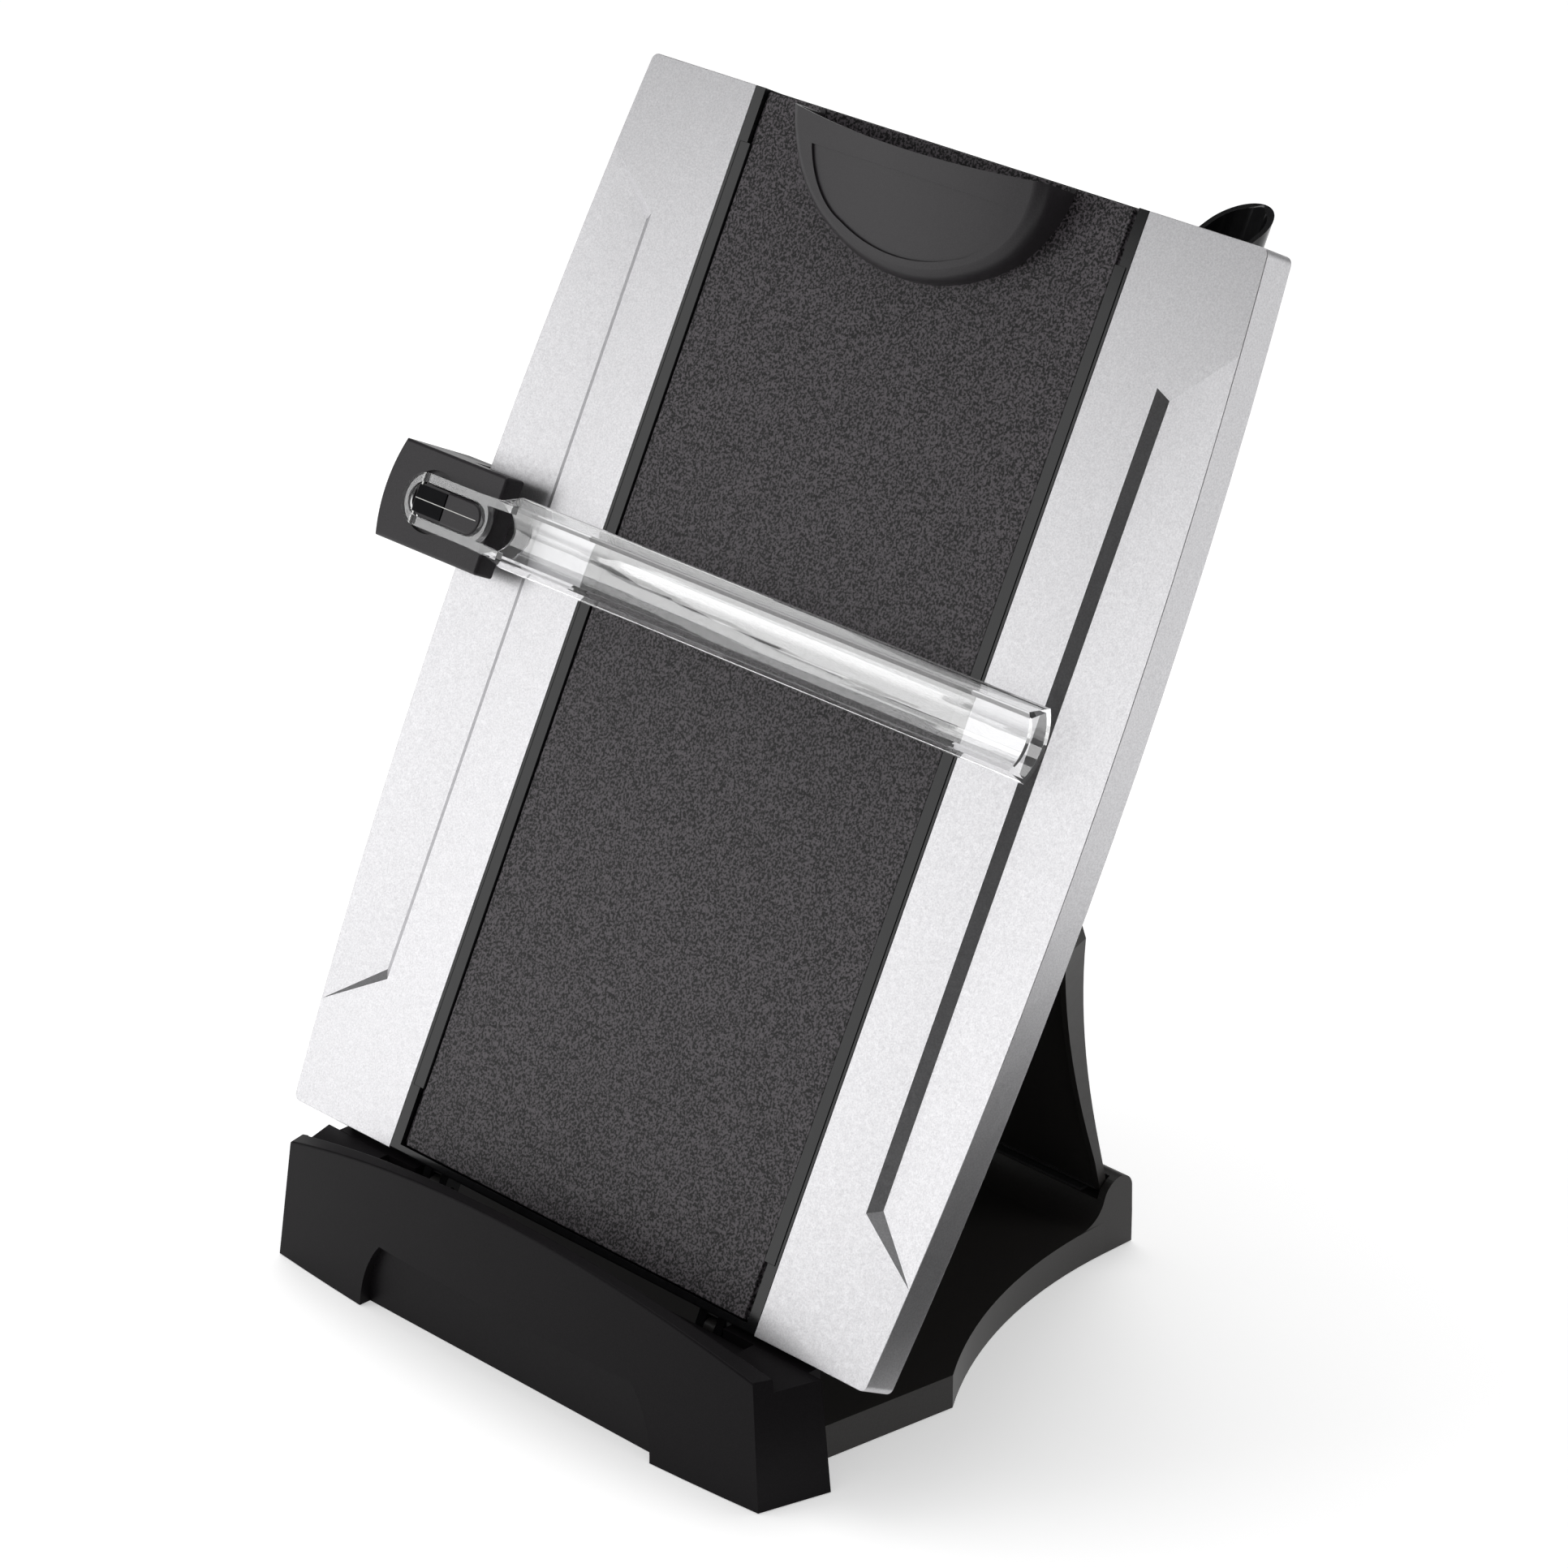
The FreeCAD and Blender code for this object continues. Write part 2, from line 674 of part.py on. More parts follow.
def make_rail(label, side):
    """A thin strip let into the frame, whose inner edge holds the panel down."""
    body = new_body(label, in_board_frame)
    strip = new_sketch(body, "strip", offset="-rail_thick + seat_fit")
    block(strip, signed(side, "rail_inner_half"), "rail_low", signed(side, "rail_outer_half"), "rail_high")
    pad(body, "strip", strip, "rail_thick")
    soften(body, "rail_thick / 4",
           lambda edge: along(edge, 1) and edge.CenterOfMass.z > -number("rail_thick") / 2)
    return body


# ---------------------------------------------------------------- board: rear parts
def cover_outline(sketch, inset):
    trace(sketch,
          ("-(board_half_end - (%s))" % inset, inset),
          ("board_half_end - (%s)" % inset, inset),
          ("arc", "board_widest - (%s)" % inset, "board_middle"),
          ("board_half_end - (%s)" % inset, "board_length - (%s)" % inset),
          ("-(board_half_end - (%s))" % inset, "board_length - (%s)" % inset),
          ("arc", "-(board_widest - (%s))" % inset, "board_middle"))


def make_rear_cover():
    body = new_body("rear_cover", in_board_frame)
    plate = new_sketch(body, "plate", offset="-board_thick")
    cover_outline(plate, "cover_inset")
    pad(body, "plate", plate, "cover_thick")
    soften(body, "board_corner", lambda edge: along(edge, 2))
    groove = new_sketch(body, "groove", offset="-board_thick")
    cover_outline(groove, "cover_inset * 4")
    cover_outline(groove, "cover_inset * 4 + cover_thick")
    pocket(body, "groove", groove, "cover_thick / 3", Reversed=True)
    grooves = new_sketch(body, "stiff_grooves", offset="-board_thick")
    block(grooves, "-leg_half_top", "board_length * 0.08",
          "leg_half_top", "board_length * 0.08 + cover_thick")
    cut = pocket(body, "stiff_grooves", grooves, "cover_thick / 3", Reversed=True)
    row_of(body, cut, "Y_Axis", 4, "board_length * 0.1")
    holes = new_sketch(body, "holes", offset="-board_thick")
    for side in (1, -1):
        for up in ("board_length * 0.15", "board_length * 0.5", "board_length * 0.85"):
            disc(holes, signed(side, "wing_inner_half + wing_boss_inset"), up, "screw_head_radius + seat_fit")
        upright_slot(holes, signed(side, "stop_half"), "stop_height - stop_radius - slide_fit",
                     "stop_height + panel_travel + stop_radius + slide_fit", "stop_radius + slide_fit")
    through(body, "holes", holes)
    return body


def make_wing_screws():
    """Six screws that hold the wings and the rear cover to the channel frame."""
    body = new_body("board_screws", in_board_frame)
    body.AllowCompound = True
    heads = new_sketch(body, "heads", offset="-board_thick + seat_fit")
    shanks = new_sketch(body, "shanks", offset="-floor_back")
    for side in (1, -1):
        for up in ("board_length * 0.15", "board_length * 0.5", "board_length * 0.85"):
            disc(heads, signed(side, "wing_inner_half + wing_boss_inset"), up, "screw_head_radius")
            disc(shanks, signed(side, "wing_inner_half + wing_boss_inset"), up, "screw_radius - seat_fit")
    pad(body, "heads", heads, "board_thick - floor_back - seat_fit")
    pad(body, "shanks", shanks, "floor_back - wing_skin")
    return body


def make_leg_brackets():
    """Two pairs of ears on the back of the board that carry the leg's hinge pins."""
    body = new_body("leg_brackets", in_board_frame)
    body.AllowCompound = True
    reach = "(leg_hinge_back - board_thick)"
    half_width = "(leg_knuckle_width / 2 + slide_fit + leg_ear_thick)"
    plates = new_sketch(body, "plates", offset="-board_thick")
    for side in (1, -1):
        middle = signed(side, "leg_knuckle_half")
        block(plates, "%s - %s" % (middle, half_width), "leg_hinge_up - leg_knuckle_radius * 1.6",
              "%s + %s" % (middle, half_width), "leg_hinge_up + leg_knuckle_radius * 3.2")
    pad(body, "plates", plates, "leg_bracket_plate", Reversed=True)
    for side in (1, -1):
        for ear in (1, -1):
            inner = "%s + %d * (leg_knuckle_width / 2 + slide_fit)" % (signed(side, "leg_knuckle_half"), ear)
            ears = new_sketch(body, "ear%d%d" % (side + 1, ear + 1), "YZ_Plane", inner)
            trace(ears,
                  ("leg_hinge_up - leg_knuckle_radius", "-board_thick - leg_bracket_plate / 2"),
                  ("leg_hinge_up - leg_knuckle_radius", "-leg_hinge_back"),
                  ("arc", "leg_hinge_up", "-leg_hinge_back - leg_knuckle_radius"),
                  ("leg_hinge_up + leg_knuckle_radius", "-leg_hinge_back"),
                  ("leg_hinge_up + leg_knuckle_radius * 2.4", "-board_thick - leg_bracket_plate / 2"))
            pad(body, "ear%d%d" % (side + 1, ear + 1), ears, "leg_ear_thick", Reversed=ear < 0)
    bore = new_sketch(body, "bore", "YZ_Plane")
    disc(bore, "leg_hinge_up", "-leg_hinge_back", "leg_pin_radius + pin_fit")
    through(body, "bore", bore)
    return body


def make_pen_cup():
    """An obround cup on the back of the board, its rim cut on a slant."""
    body = new_body("pen_cup", in_board_frame)

    def oval(sketch, inset):
        wide = "(pen_cup_half_width - %s)" % inset
        flat = "(pen_cup_half_depth - pen_cup_half_width)"
        # the sketch stands across the board: X is X and Y is the board's Z
        trace(sketch,
              ("pen_cup_side - " + wide, "-pen_cup_back - " + flat),
              ("arc", "pen_cup_side", "-pen_cup_back - %s - %s" % (flat, wide)),
              ("pen_cup_side + " + wide, "-pen_cup_back - " + flat),
              ("pen_cup_side + " + wide, "-pen_cup_back + " + flat),
              ("arc", "pen_cup_side", "-pen_cup_back + %s + %s" % (flat, wide)),
              ("pen_cup_side - " + wide, "-pen_cup_back + " + flat))

    peak = "(pen_cup_rim + pen_cup_slope * pen_cup_half_depth)"
    outside = new_sketch(body, "outside", "XZ_Plane", "-pen_cup_low")
    oval(outside, "0")
    pad(body, "outside", outside, "%s - pen_cup_low" % peak, Reversed=True)
    soften(body, "pen_cup_wall * 2", lambda edge: lies_at(edge, 1, "pen_cup_low"))
    back_pad = new_sketch(body, "back_pad", offset="-board_thick")
    block(back_pad, "pen_cup_side - pen_cup_half_width", "pen_cup_low + pen_cup_half_width",
          "pen_cup_side + pen_cup_half_width", "board_length - cover_inset * 4")
    pad(body, "back_pad", back_pad, "pen_cup_back - board_thick", Reversed=True)
    inside = new_sketch(body, "inside", "XZ_Plane", "-(pen_cup_low + pen_cup_wall)")
    oval(inside, "pen_cup_wall")
    pocket(body, "inside", inside, peak, Reversed=False, Type="Length")
    slant = new_sketch(body, "slant", "YZ_Plane")
    near = "-pen_cup_back + pen_cup_half_depth * 2"
    far = "-pen_cup_back - pen_cup_half_depth * 2"
    trace(slant,
          ("pen_cup_rim - pen_cup_slope * pen_cup_half_depth * 2", near),
          ("pen_cup_rim + pen_cup_slope * pen_cup_half_depth * 2", far),
          ("pen_cup_rim + pen_cup_half_depth * 4", far),
          ("pen_cup_rim + pen_cup_half_depth * 4", near))
    through(body, "slant", slant)
    return body


# ---------------------------------------------------------------- sliding centre panel
def make_centre_panel():
    """The textured plate, stepped down under the rails, with two runners behind."""
    body = new_body("centre_panel", in_board_frame)
    plate = new_sketch(body, "plate", offset="-panel_sink")
    block(plate, "-panel_half", "panel_low", "panel_half", "panel_high")
    pad(body, "plate", plate, "panel_thick", Reversed=True)
    soften(body, "board_corner / 2", lambda edge: along(edge, 2))
    steps = new_sketch(body, "steps", offset="-panel_sink")
    for side in (1, -1):
        block(steps, signed(side, "(rail_inner_half - slide_fit)"), "panel_low - 1",
              signed(side, "(panel_half + 1)"), "panel_high + 1")
    pocket(body, "steps", steps, "panel_thick - panel_edge_thick")
    runners = new_sketch(body, "runners", offset="-(panel_sink + panel_thick)")
    for side in (1, -1):
        block(runners, signed(side, "(runner_half - runner_thick / 2)"), "panel_low",
              signed(side, "(runner_half + runner_thick / 2)"), "panel_high - cup_drop")
    pad(body, "runners", runners, "channel_floor - slide_fit - panel_sink - panel_thick", Reversed=True)
    rib = new_sketch(body, "rib", offset="-(panel_sink + panel_thick)")
    block(rib, "-runner_half", "board_length / 8", "runner_half", "board_length / 8 + wing_rib_thick")
    ribs = pad(body, "rib", rib, "(channel_floor - panel_sink - panel_thick) / 3", Reversed=True)
    row_of(body, ribs, "Y_Axis", 5, "board_length / 6")
    return body


def make_panel_stops():
    """Two pegs that run in the frame's slots and end the panel's travel."""
    body = new_body("panel_stops", in_board_frame)
    body.AllowCompound = True
    pegs = new_sketch(body, "pegs", offset="-(panel_sink + panel_thick)")
    for side in (1, -1):
        disc(pegs, signed(side, "stop_half"), "stop_height", "stop_radius")
    pad(body, "pegs", pegs, "board_thick - slide_fit - panel_sink - panel_thick", Reversed=True)
    return body


# ---------------------------------------------------------------- clip cup


def cup_section(sketch, up, inset):
    """The cup cut across at one height: a shallow crown on a base line at the panel."""
    rise = "cup_reach - cup_slope * (panel_high - (%s)) - (%s)" % (up, inset)
    base = "-(panel_sink + cup_reach)"
    trace(sketch, ("-cup_half - 1", base), ("cup_half + 1", base),
          ("cup_half + 1", "%s - cup_crown" % rise),
          ("arc", "0 * cup_half", rise),
          ("-cup_half - 1", "%s - cup_crown" % rise))


def cup_wedge(body, inset, over):
    """The crowned, sloping front of the cup, as a wedge that the outline then trims."""
    ends = []
    for name, up in (("top", "panel_high + %s" % over), ("foot", "cup_bottom")):
        section = new_sketch(body, name, "XZ_Plane", "-(%s)" % up)
        cup_section(section, up, inset)
        ends.append(section)
    loft = body.newObject("PartDesign::AdditiveLoft", body.Label + "_wedge")
    loft.Profile = ends[0]
    loft.Sections = ends[1:]
    loft.Ruled = True
    document.recompute()
    return loft


def half_round(sketch, half, top, low):
    """The lower half of a round outline, wider than it is deep."""
    knee = "(%s) - ((%s) - (%s)) * 0.8" % (top, top, low)
    trace(sketch,
          (half, top), ("arc", "(%s) * 0.9165" % half, "(%s) - ((%s) - (%s)) * 0.4" % (top, top, low)),
          ("(%s) * 0.6" % half, knee), ("arc", "0 * (%s)" % half, low),
          ("-(%s) * 0.6" % half, knee),
          ("arc", "-(%s) * 0.9165" % half, "(%s) - ((%s) - (%s)) * 0.4" % (top, top, low)),
          ("-(%s)" % half, top))


def cup_form(label, inset, over, rounding):
    """The cup's outer form, or its hollow where it is drawn in by the wall."""
    body = new_body(label, in_board_frame)
    cup_wedge(body, inset, over)
    around = new_sketch(body, "around", offset="cup_reach * 2")
    trace(around,
          ("-cup_half * 2", "panel_high - cup_drop * 2"), ("cup_half * 2", "panel_high - cup_drop * 2"),
          ("cup_half * 2", "panel_high + cup_wall * 2"), ("-cup_half * 2", "panel_high + cup_wall * 2"))
    half_round(around, "(cup_half - %s)" % inset, "(panel_high + %s)" % over, "(cup_bottom + %s)" % inset)
    pocket(body, "around", around, "cup_reach * 4")
    flat = new_sketch(body, "flat", "XZ_Plane", "-(panel_high + cup_wall * 3)")
    block(flat, "-cup_half * 2", "-cup_reach * 4", "cup_half * 2", "-(panel_sink + %s)" % inset)
    pocket(body, "flat", flat, "cup_drop * 2", Reversed=True)
    back = number("-(panel_sink + %s)" % inset) + TINY
    mouth = number("panel_high + %s" % over) - TINY
    soften(body, rounding, lambda edge: edge.BoundBox.ZMin > back and edge.BoundBox.YMin < mouth
           and not along(edge, 2))
    return body


def make_clip_cup():
    """The half-round pocket at the top of the panel, open at the top, with a sunk half-moon."""
    outside = cup_form("clip_cup_outside", "0", "(0 - slide_fit)", "cup_round")
    hollow = cup_form("clip_cup_hollow", "cup_wall", "cup_wall", "cup_round - cup_wall")
    shell = document.addObject("Part::Cut", "clip_cup_shell")
    shell.Base, shell.Tool = outside, hollow

    dip = new_body("clip_cup_dip", in_board_frame)
    rim = new_sketch(dip, "rim")
    trace(rim, ("-cup_half * 1.2", "panel_high"), ("arc", "0 * cup_half", "panel_high - cup_rim_dip * 1.3"),
          ("cup_half * 1.2", "panel_high"), ("cup_half * 1.2", "panel_high + cup_drop"),
          ("-cup_half * 1.2", "panel_high + cup_drop"))
    pad(dip, "rim", rim, "cup_reach * 2")
    moon = new_body("clip_cup_moon", in_board_frame)
    outline = new_sketch(moon, "outline")
    half_round(outline, "moon_half", "moon_high", "moon_low")
    pad(moon, "outline", outline, "cup_reach * 2")
    under = new_body("clip_cup_under", in_board_frame)
    cup_wedge(under, "moon_depth", "cup_wall")
    sunk = document.addObject("Part::Cut", "clip_cup_sunk")
    sunk.Base, sunk.Tool = moon, under
    dipped = document.addObject("Part::Cut", "clip_cup_dipped")
    dipped.Base, dipped.Tool = shell, dip
    cup = document.addObject("Part::Cut", "clip_cup")
    cup.Label = "clip_cup"
    cup.Base, cup.Tool = dipped, sunk
    document.recompute()
    return cup


# ---------------------------------------------------------------- base
def plate_outline(sketch, inset, front):
    """The waisted plan of the base plate."""
    def out(text):
        return "(%s - (%s))" % (text, inset)
    trace(sketch,
          (out("plate_front_half"), front),
          (out("plate_corner_half"), "plate_corner_back"),
          ("arc", out("plate_waist_half"), "plate_waist_back"),
          (out("plate_rear_half"), "plate_rear_start"),
          (out("plate_rear_half"), "plate_rear - (%s)" % inset),
          ("-" + out("plate_rear_half"), "plate_rear - (%s)" % inset),
          ("-" + out("plate_rear_half"), "plate_rear_start"),
          ("arc", "-" + out("plate_waist_half"), "plate_waist_back"),
          ("-" + out("plate_corner_half"), "plate_corner_back"),
          ("-" + out("plate_front_half"), front))


def screw_places():
    """Where the base screws stand: (x, y) expressions."""
    return [(signed(side, out), "-base_screw_forward") for side in (1, -1)
            for out in ("base_screw_inner", "base_screw_outer")]


def make_base_plate():
    """The waisted plate with its tongue, hinge posts and the rim that stops the leg."""
    body = new_body("base_plate")
    plan = new_sketch(body, "plan", offset="foot_proud")
    plate_outline(plan, "0", "0")
    pad(body, "plan", plan, "plate_top - foot_proud")
    tongue = new_sketch(body, "tongue", offset="foot_proud")
    block(tongue, "-tongue_half", "-tongue_front", "tongue_half", "1")
    pad(body, "tongue", tongue, "tongue_top - foot_proud")

    rim = new_sketch(body, "rim", "YZ_Plane", "-plate_rear_half")
    trace(rim,
          ("rim_toe", "plate_top"),
          ("arc", "(rim_toe + rim_shoulder_back) / 2 + 1.4",
           "plate_top + (rim_shoulder_height - plate_top) * 0.26"),
          ("rim_shoulder_back", "rim_shoulder_height"),
          ("arc", "(rim_shoulder_back + rim_crest_back) / 2 - 0.8", "rim_top - 1.6"),
          ("rim_crest_back", "rim_top"),
          ("arc", "plate_rear - 2", "rim_top - 1.3"),
          ("plate_rear - 0.3", "rim_top - 4.4"),
          ("plate_rear", "plate_top - 1"),
          ("rim_toe", "plate_top - 1"))
    pad(body, "rim", rim, "plate_rear_half * 2")
    seat = new_sketch(body, "leg_seat", "YZ_Plane", "-(leg_half_foot + leg_seat_gap * 2)")
    seat_floor = "(toe_z - leg_seat_gap - leg_strip_thick)"
    block(seat, "rim_toe - 1", seat_floor, "(heel_y + leg_seat_gap)", "rim_top + 1")
    pocket(body, "leg_seat", seat, "(leg_half_foot + leg_seat_gap * 2) * 2", Reversed=True)

    cavity = new_sketch(body, "cavity", offset="foot_proud")
    trace(cavity,
          ("plate_front_half - plate_wall", "plate_wall + grip_half_deep"),
          ("plate_corner_half - plate_wall", "plate_corner_back"),
          ("arc", "plate_waist_half - plate_wall", "plate_waist_back"),
          ("plate_rear_half - plate_wall", "rim_toe"),
          ("-(plate_rear_half - plate_wall)", "rim_toe"),
          ("arc", "-(plate_waist_half - plate_wall)", "plate_waist_back"),
          ("-(plate_corner_half - plate_wall)", "plate_corner_back"),
          ("-(plate_front_half - plate_wall)", "plate_wall + grip_half_deep"))
    pocket(body, "cavity", cavity, "plate_top - plate_skin - foot_proud", Reversed=True)
    rib = new_sketch(body, "rib", offset="foot_proud")
    block(rib, "-plate_corner_half * 0.6", "plate_wall", "-plate_corner_half * 0.6 + plate_rib_thick", "rim_toe + 1")
    ribs = pad(body, "rib", rib, "plate_top - plate_skin / 2 - foot_proud")
    row_of(body, ribs, "X_Axis", 5, "(plate_corner_half * 1.2 - plate_rib_thick) / 4")
    for side in (1, -1):
        post = new_sketch(body, "post%d" % (side + 1), "YZ_Plane",
                          "%s - hinge_post_width / 2" % signed(side, "hinge_half"))
        trace(post,
              ("pivot_y - hinge_knuckle_radius", "plate_top - 1"),
              ("pivot_y + hinge_knuckle_radius * 2.4", "plate_top - 1"),
              ("pivot_y + hinge_knuckle_radius", "pivot_z"),
              ("arc", "pivot_y", "pivot_z + hinge_knuckle_radius"),
              ("pivot_y - hinge_knuckle_radius", "pivot_z"))
        pad(body, "post%d" % (side + 1), post, "hinge_post_width")
    bore = new_sketch(body, "bore", "YZ_Plane")
    disc(bore, "pivot_y", "pivot_z", "hinge_pin_radius + pin_fit")
    through(body, "bore", bore)

    under = new_sketch(body, "under")
    block(under, "-(grip_half + seat_fit)", "-(grip_half_deep + seat_fit)",
          "grip_half + seat_fit", "grip_half_deep + seat_fit")
    for side in (1, -1):
        disc(under, signed(side, "rear_foot_half"), "rear_foot_back", "foot_radius + seat_fit")
    for place in screw_places():
        disc(under, place[0], place[1], "screw_head_radius + seat_fit")
    pocket(body, "under", under, "foot_proud + foot_recess", Reversed=True)
    holes = new_sketch(body, "screw_holes")
    for place in screw_places():
        disc(holes, place[0], place[1], "screw_radius + seat_fit")
    pocket(body, "screw_holes", holes, "tongue_top + 1", Reversed=True)
    return body


def ledge_plan(body, name, level, centre, end, front_half, rear_half):
    """The ledge's plan at one height: a bowed front and ends that flare to the rear."""
    plan = new_sketch(body, name, offset=level)
    trace(plan,
          ("-" + front_half, "-" + end),
          ("arc", "0 * ledge_height", "-" + centre),
          (front_half, "-" + end),
          (rear_half, "-ledge_rear_gap"),
          ("-" + rear_half, "-ledge_rear_gap"))
    return plan


def make_front_ledge():
    """The arched, bowed front block with the paper trough behind its front wall."""
    body = new_body("front_ledge")
    foot = ledge_plan(body, "foot", "foot_proud", "ledge_front_centre", "ledge_front_end",
                      "ledge_front_half", "ledge_rear_half")
    head = ledge_plan(body, "head", "ledge_height", "ledge_top_front_centre", "ledge_top_front_end",
                      "ledge_top_front_half", "ledge_top_rear_half")
    form = body.newObject("PartDesign::AdditiveLoft", "front_ledge_form")
    form.Profile = foot
    form.Sections = [head]
    form.Ruled = True
    document.recompute()

    arch = new_sketch(body, "arch", "XZ_Plane")
    trace(arch,
          ("-ledge_top_front_half", "ledge_height - ledge_arch"),
          ("arc", "0 * ledge_height", "ledge_height"),
          ("ledge_top_front_half", "ledge_height - ledge_arch"),
          ("ledge_rear_half + 9", "ledge_height - ledge_arch * 1.4"),
          ("ledge_rear_half + 9", "ledge_height + ledge_arch"),
          ("-(ledge_rear_half + 9)", "ledge_height + ledge_arch"),
          ("-(ledge_rear_half + 9)", "ledge_height - ledge_arch * 1.4"))
    through(body, "arch", arch)

    trough = new_sketch(body, "trough", offset="ledge_height + ledge_arch")
    trace(trough,
          ("-(ledge_rear_half + 9)", "-(ledge_top_front_end - ledge_lip_thick)"),
          ("-ledge_top_front_half", "-(ledge_top_front_end - ledge_lip_thick)"),
          ("arc", "0 * ledge_height", "-(ledge_top_front_centre - ledge_lip_thick + 1)"),
          ("ledge_top_front_half", "-(ledge_top_front_end - ledge_lip_thick)"),
          ("ledge_rear_half + 9", "-(ledge_top_front_end - ledge_lip_thick)"),
          ("ledge_rear_half + 9", "9"),
          ("-(ledge_rear_half + 9)", "9"))
    pocket(body, "trough", trough, "ledge_height + ledge_arch - shelf_high")
    floor_plan = new_sketch(body, "trough_floor", offset="shelf_high + 1")
    trace(floor_plan,
          ("-shelf_inner", "-(ledge_top_front_end - ledge_lip_thick) - 1"),
          ("arc", "0 * ledge_height", "-(ledge_top_front_centre - ledge_lip_thick + 1)"),
          ("shelf_inner", "-(ledge_top_front_end - ledge_lip_thick) - 1"),
          ("shelf_inner", "9"),
          ("-shelf_inner", "9"))
    pocket(body, "trough_floor", floor_plan, "shelf_high + 1 - trough_floor")
    for side in (1, -1):
        fall = new_sketch(body, "shelf_fall%d" % (side + 1), "XZ_Plane", "ledge_top_front_end - ledge_lip_thick")
        trace(fall,
              (signed(side, "shelf_break"), "shelf_high"),
              (signed(side, "ledge_rear_half"), "shelf_low"),
              (signed(side, "(ledge_rear_half + 9)"), "shelf_low"),
              (signed(side, "(ledge_rear_half + 9)"), "shelf_high + 1"),
              (signed(side, "shelf_break"), "shelf_high + 1"))
        pocket(body, "shelf_fall%d" % (side + 1), fall, "ledge_top_front_end", Reversed=True)
    floor = number("trough_floor")
    soften(body, "trough_round", lambda edge: lies_at(edge, 2, "trough_floor")
           and edge.CenterOfMass.y < -number("ledge_lip_thick") and edge.Length > floor)
    lip = number("ledge_height - ledge_arch - 1")
    soften(body, "edge_soft", lambda edge: not is_line(edge) and edge.BoundBox.ZMin > lip
           and edge.BoundBox.YMax < 0)

    recess = new_sketch(body, "recess", "XZ_Plane", "recess_face")
    trace(recess,
          ("-recess_half_top", "recess_top"),
          ("arc", "-(recess_half_top * 0.25 + recess_half_foot * 0.75) - 0.6", "recess_top * 0.45"),
          ("-recess_half_foot", "0 * recess_top"),
          ("recess_half_foot", "0 * recess_top"),
          ("arc", "recess_half_top * 0.25 + recess_half_foot * 0.75 + 0.6", "recess_top * 0.45"),
          ("recess_half_top", "recess_top"))
    pocket(body, "recess", recess, "ledge_front_centre", Reversed=True)

    low_cavity = new_sketch(body, "low_cavity")
    block(low_cavity, "-ledge_cavity_half", "-(ledge_top_front_end - ledge_front_wall + 1)",
          "ledge_cavity_half", "-ledge_rear_wall")
    pocket(body, "low_cavity", low_cavity, "tongue_top + seat_fit", Reversed=True)
    gate = new_sketch(body, "tongue_gate")
    block(gate, "-(tongue_half + seat_fit)", "-(ledge_rear_wall + 1)", "tongue_half + seat_fit", "1")
    pocket(body, "tongue_gate", gate, "tongue_top + seat_fit", Reversed=True)
    cells = new_sketch(body, "cells", offset="foot_proud")
    walls = [("-ledge_cavity_half", "-base_screw_outer - ledge_web / 2"),
             ("-base_screw_outer + ledge_web / 2", "-base_screw_inner - ledge_web / 2"),
             ("-base_screw_inner + ledge_web / 2", "base_screw_inner - ledge_web / 2"),
             ("base_screw_inner + ledge_web / 2", "base_screw_outer - ledge_web / 2"),
             ("base_screw_outer + ledge_web / 2", "ledge_cavity_half")]
    for left, right in walls:
        block(cells, left, "-(ledge_top_front_end - ledge_front_wall + 1)", right, "-ledge_rear_wall")
    pocket(body, "cells", cells, "ledge_ceiling - foot_proud", Reversed=True)

    under = new_sketch(body, "under")
    for side in (1, -1):
        disc(under, signed(side, "front_foot_half"), "-front_foot_forward", "foot_radius + seat_fit")
    pocket(body, "under", under, "foot_proud + foot_recess", Reversed=True)
    pilots = new_sketch(body, "pilots")
    for place in screw_places():
        disc(pilots, place[0], place[1], "screw_radius - seat_fit")
    pocket(body, "pilots", pilots, "ledge_ceiling * 0.7", Reversed=True)
    return body


def make_base_screws():
    body = new_body("base_screws")
    body.AllowCompound = True
    heads = new_sketch(body, "heads", offset="foot_proud + foot_recess - screw_head_thick / 2")
    shanks = new_sketch(body, "shanks", offset="foot_proud + foot_recess")
    for place in screw_places():
        disc(heads, place[0], place[1], "screw_head_radius")
        disc(shanks, place[0], place[1], "screw_radius - seat_fit")
    pad(body, "heads", heads, "screw_head_thick / 2")
    pad(body, "shanks", shanks, "ledge_ceiling * 0.6")
    return body


def make_grip_strip():
    """The rubber strip under the tongue, centred on the origin."""
    body = new_body("front_grip_strip")
    strip = new_sketch(body, "strip")
    block(strip, "-grip_half", "-grip_half_deep", "grip_half", "grip_half_deep")
    pad(body, "strip", strip, "foot_proud + foot_recess")
    soften(body, "foot_radius / 3", lambda edge: along(edge, 2))
    soften(body, "foot_proud / 2", lambda edge: lies_at(edge, 2, "0 * foot_proud"))
    return body


def make_rubber_feet():
    body = new_body("rubber_feet")
    body.AllowCompound = True
    feet = new_sketch(body, "feet")
    for side in (1, -1):
        disc(feet, signed(side, "front_foot_half"), "-front_foot_forward", "foot_radius")
        disc(feet, signed(side, "rear_foot_half"), "rear_foot_back", "foot_radius")
    pad(body, "feet", feet, "foot_proud + foot_recess")
    soften(body, "foot_proud / 2", lambda edge: lies_at(edge, 2, "0 * foot_proud"))
    return body


def make_hinge_pins(label, half, length, radius, turn, deep, place):
    """Two short steel pins with bevelled ends, one each side, along X."""
    body = new_body(label, place)
    body.AllowCompound = True
    sketch = new_sketch(body, "ends", "YZ_Plane", "%s - (%s) / 2" % (half, length))
    disc(sketch, turn, deep, radius)
    right = pad(body, "right", sketch, length)
    mirrored(body, right)
    soften(body, "(%s) / 4" % radius, lambda edge: not is_line(edge), "Chamfer")
    return body


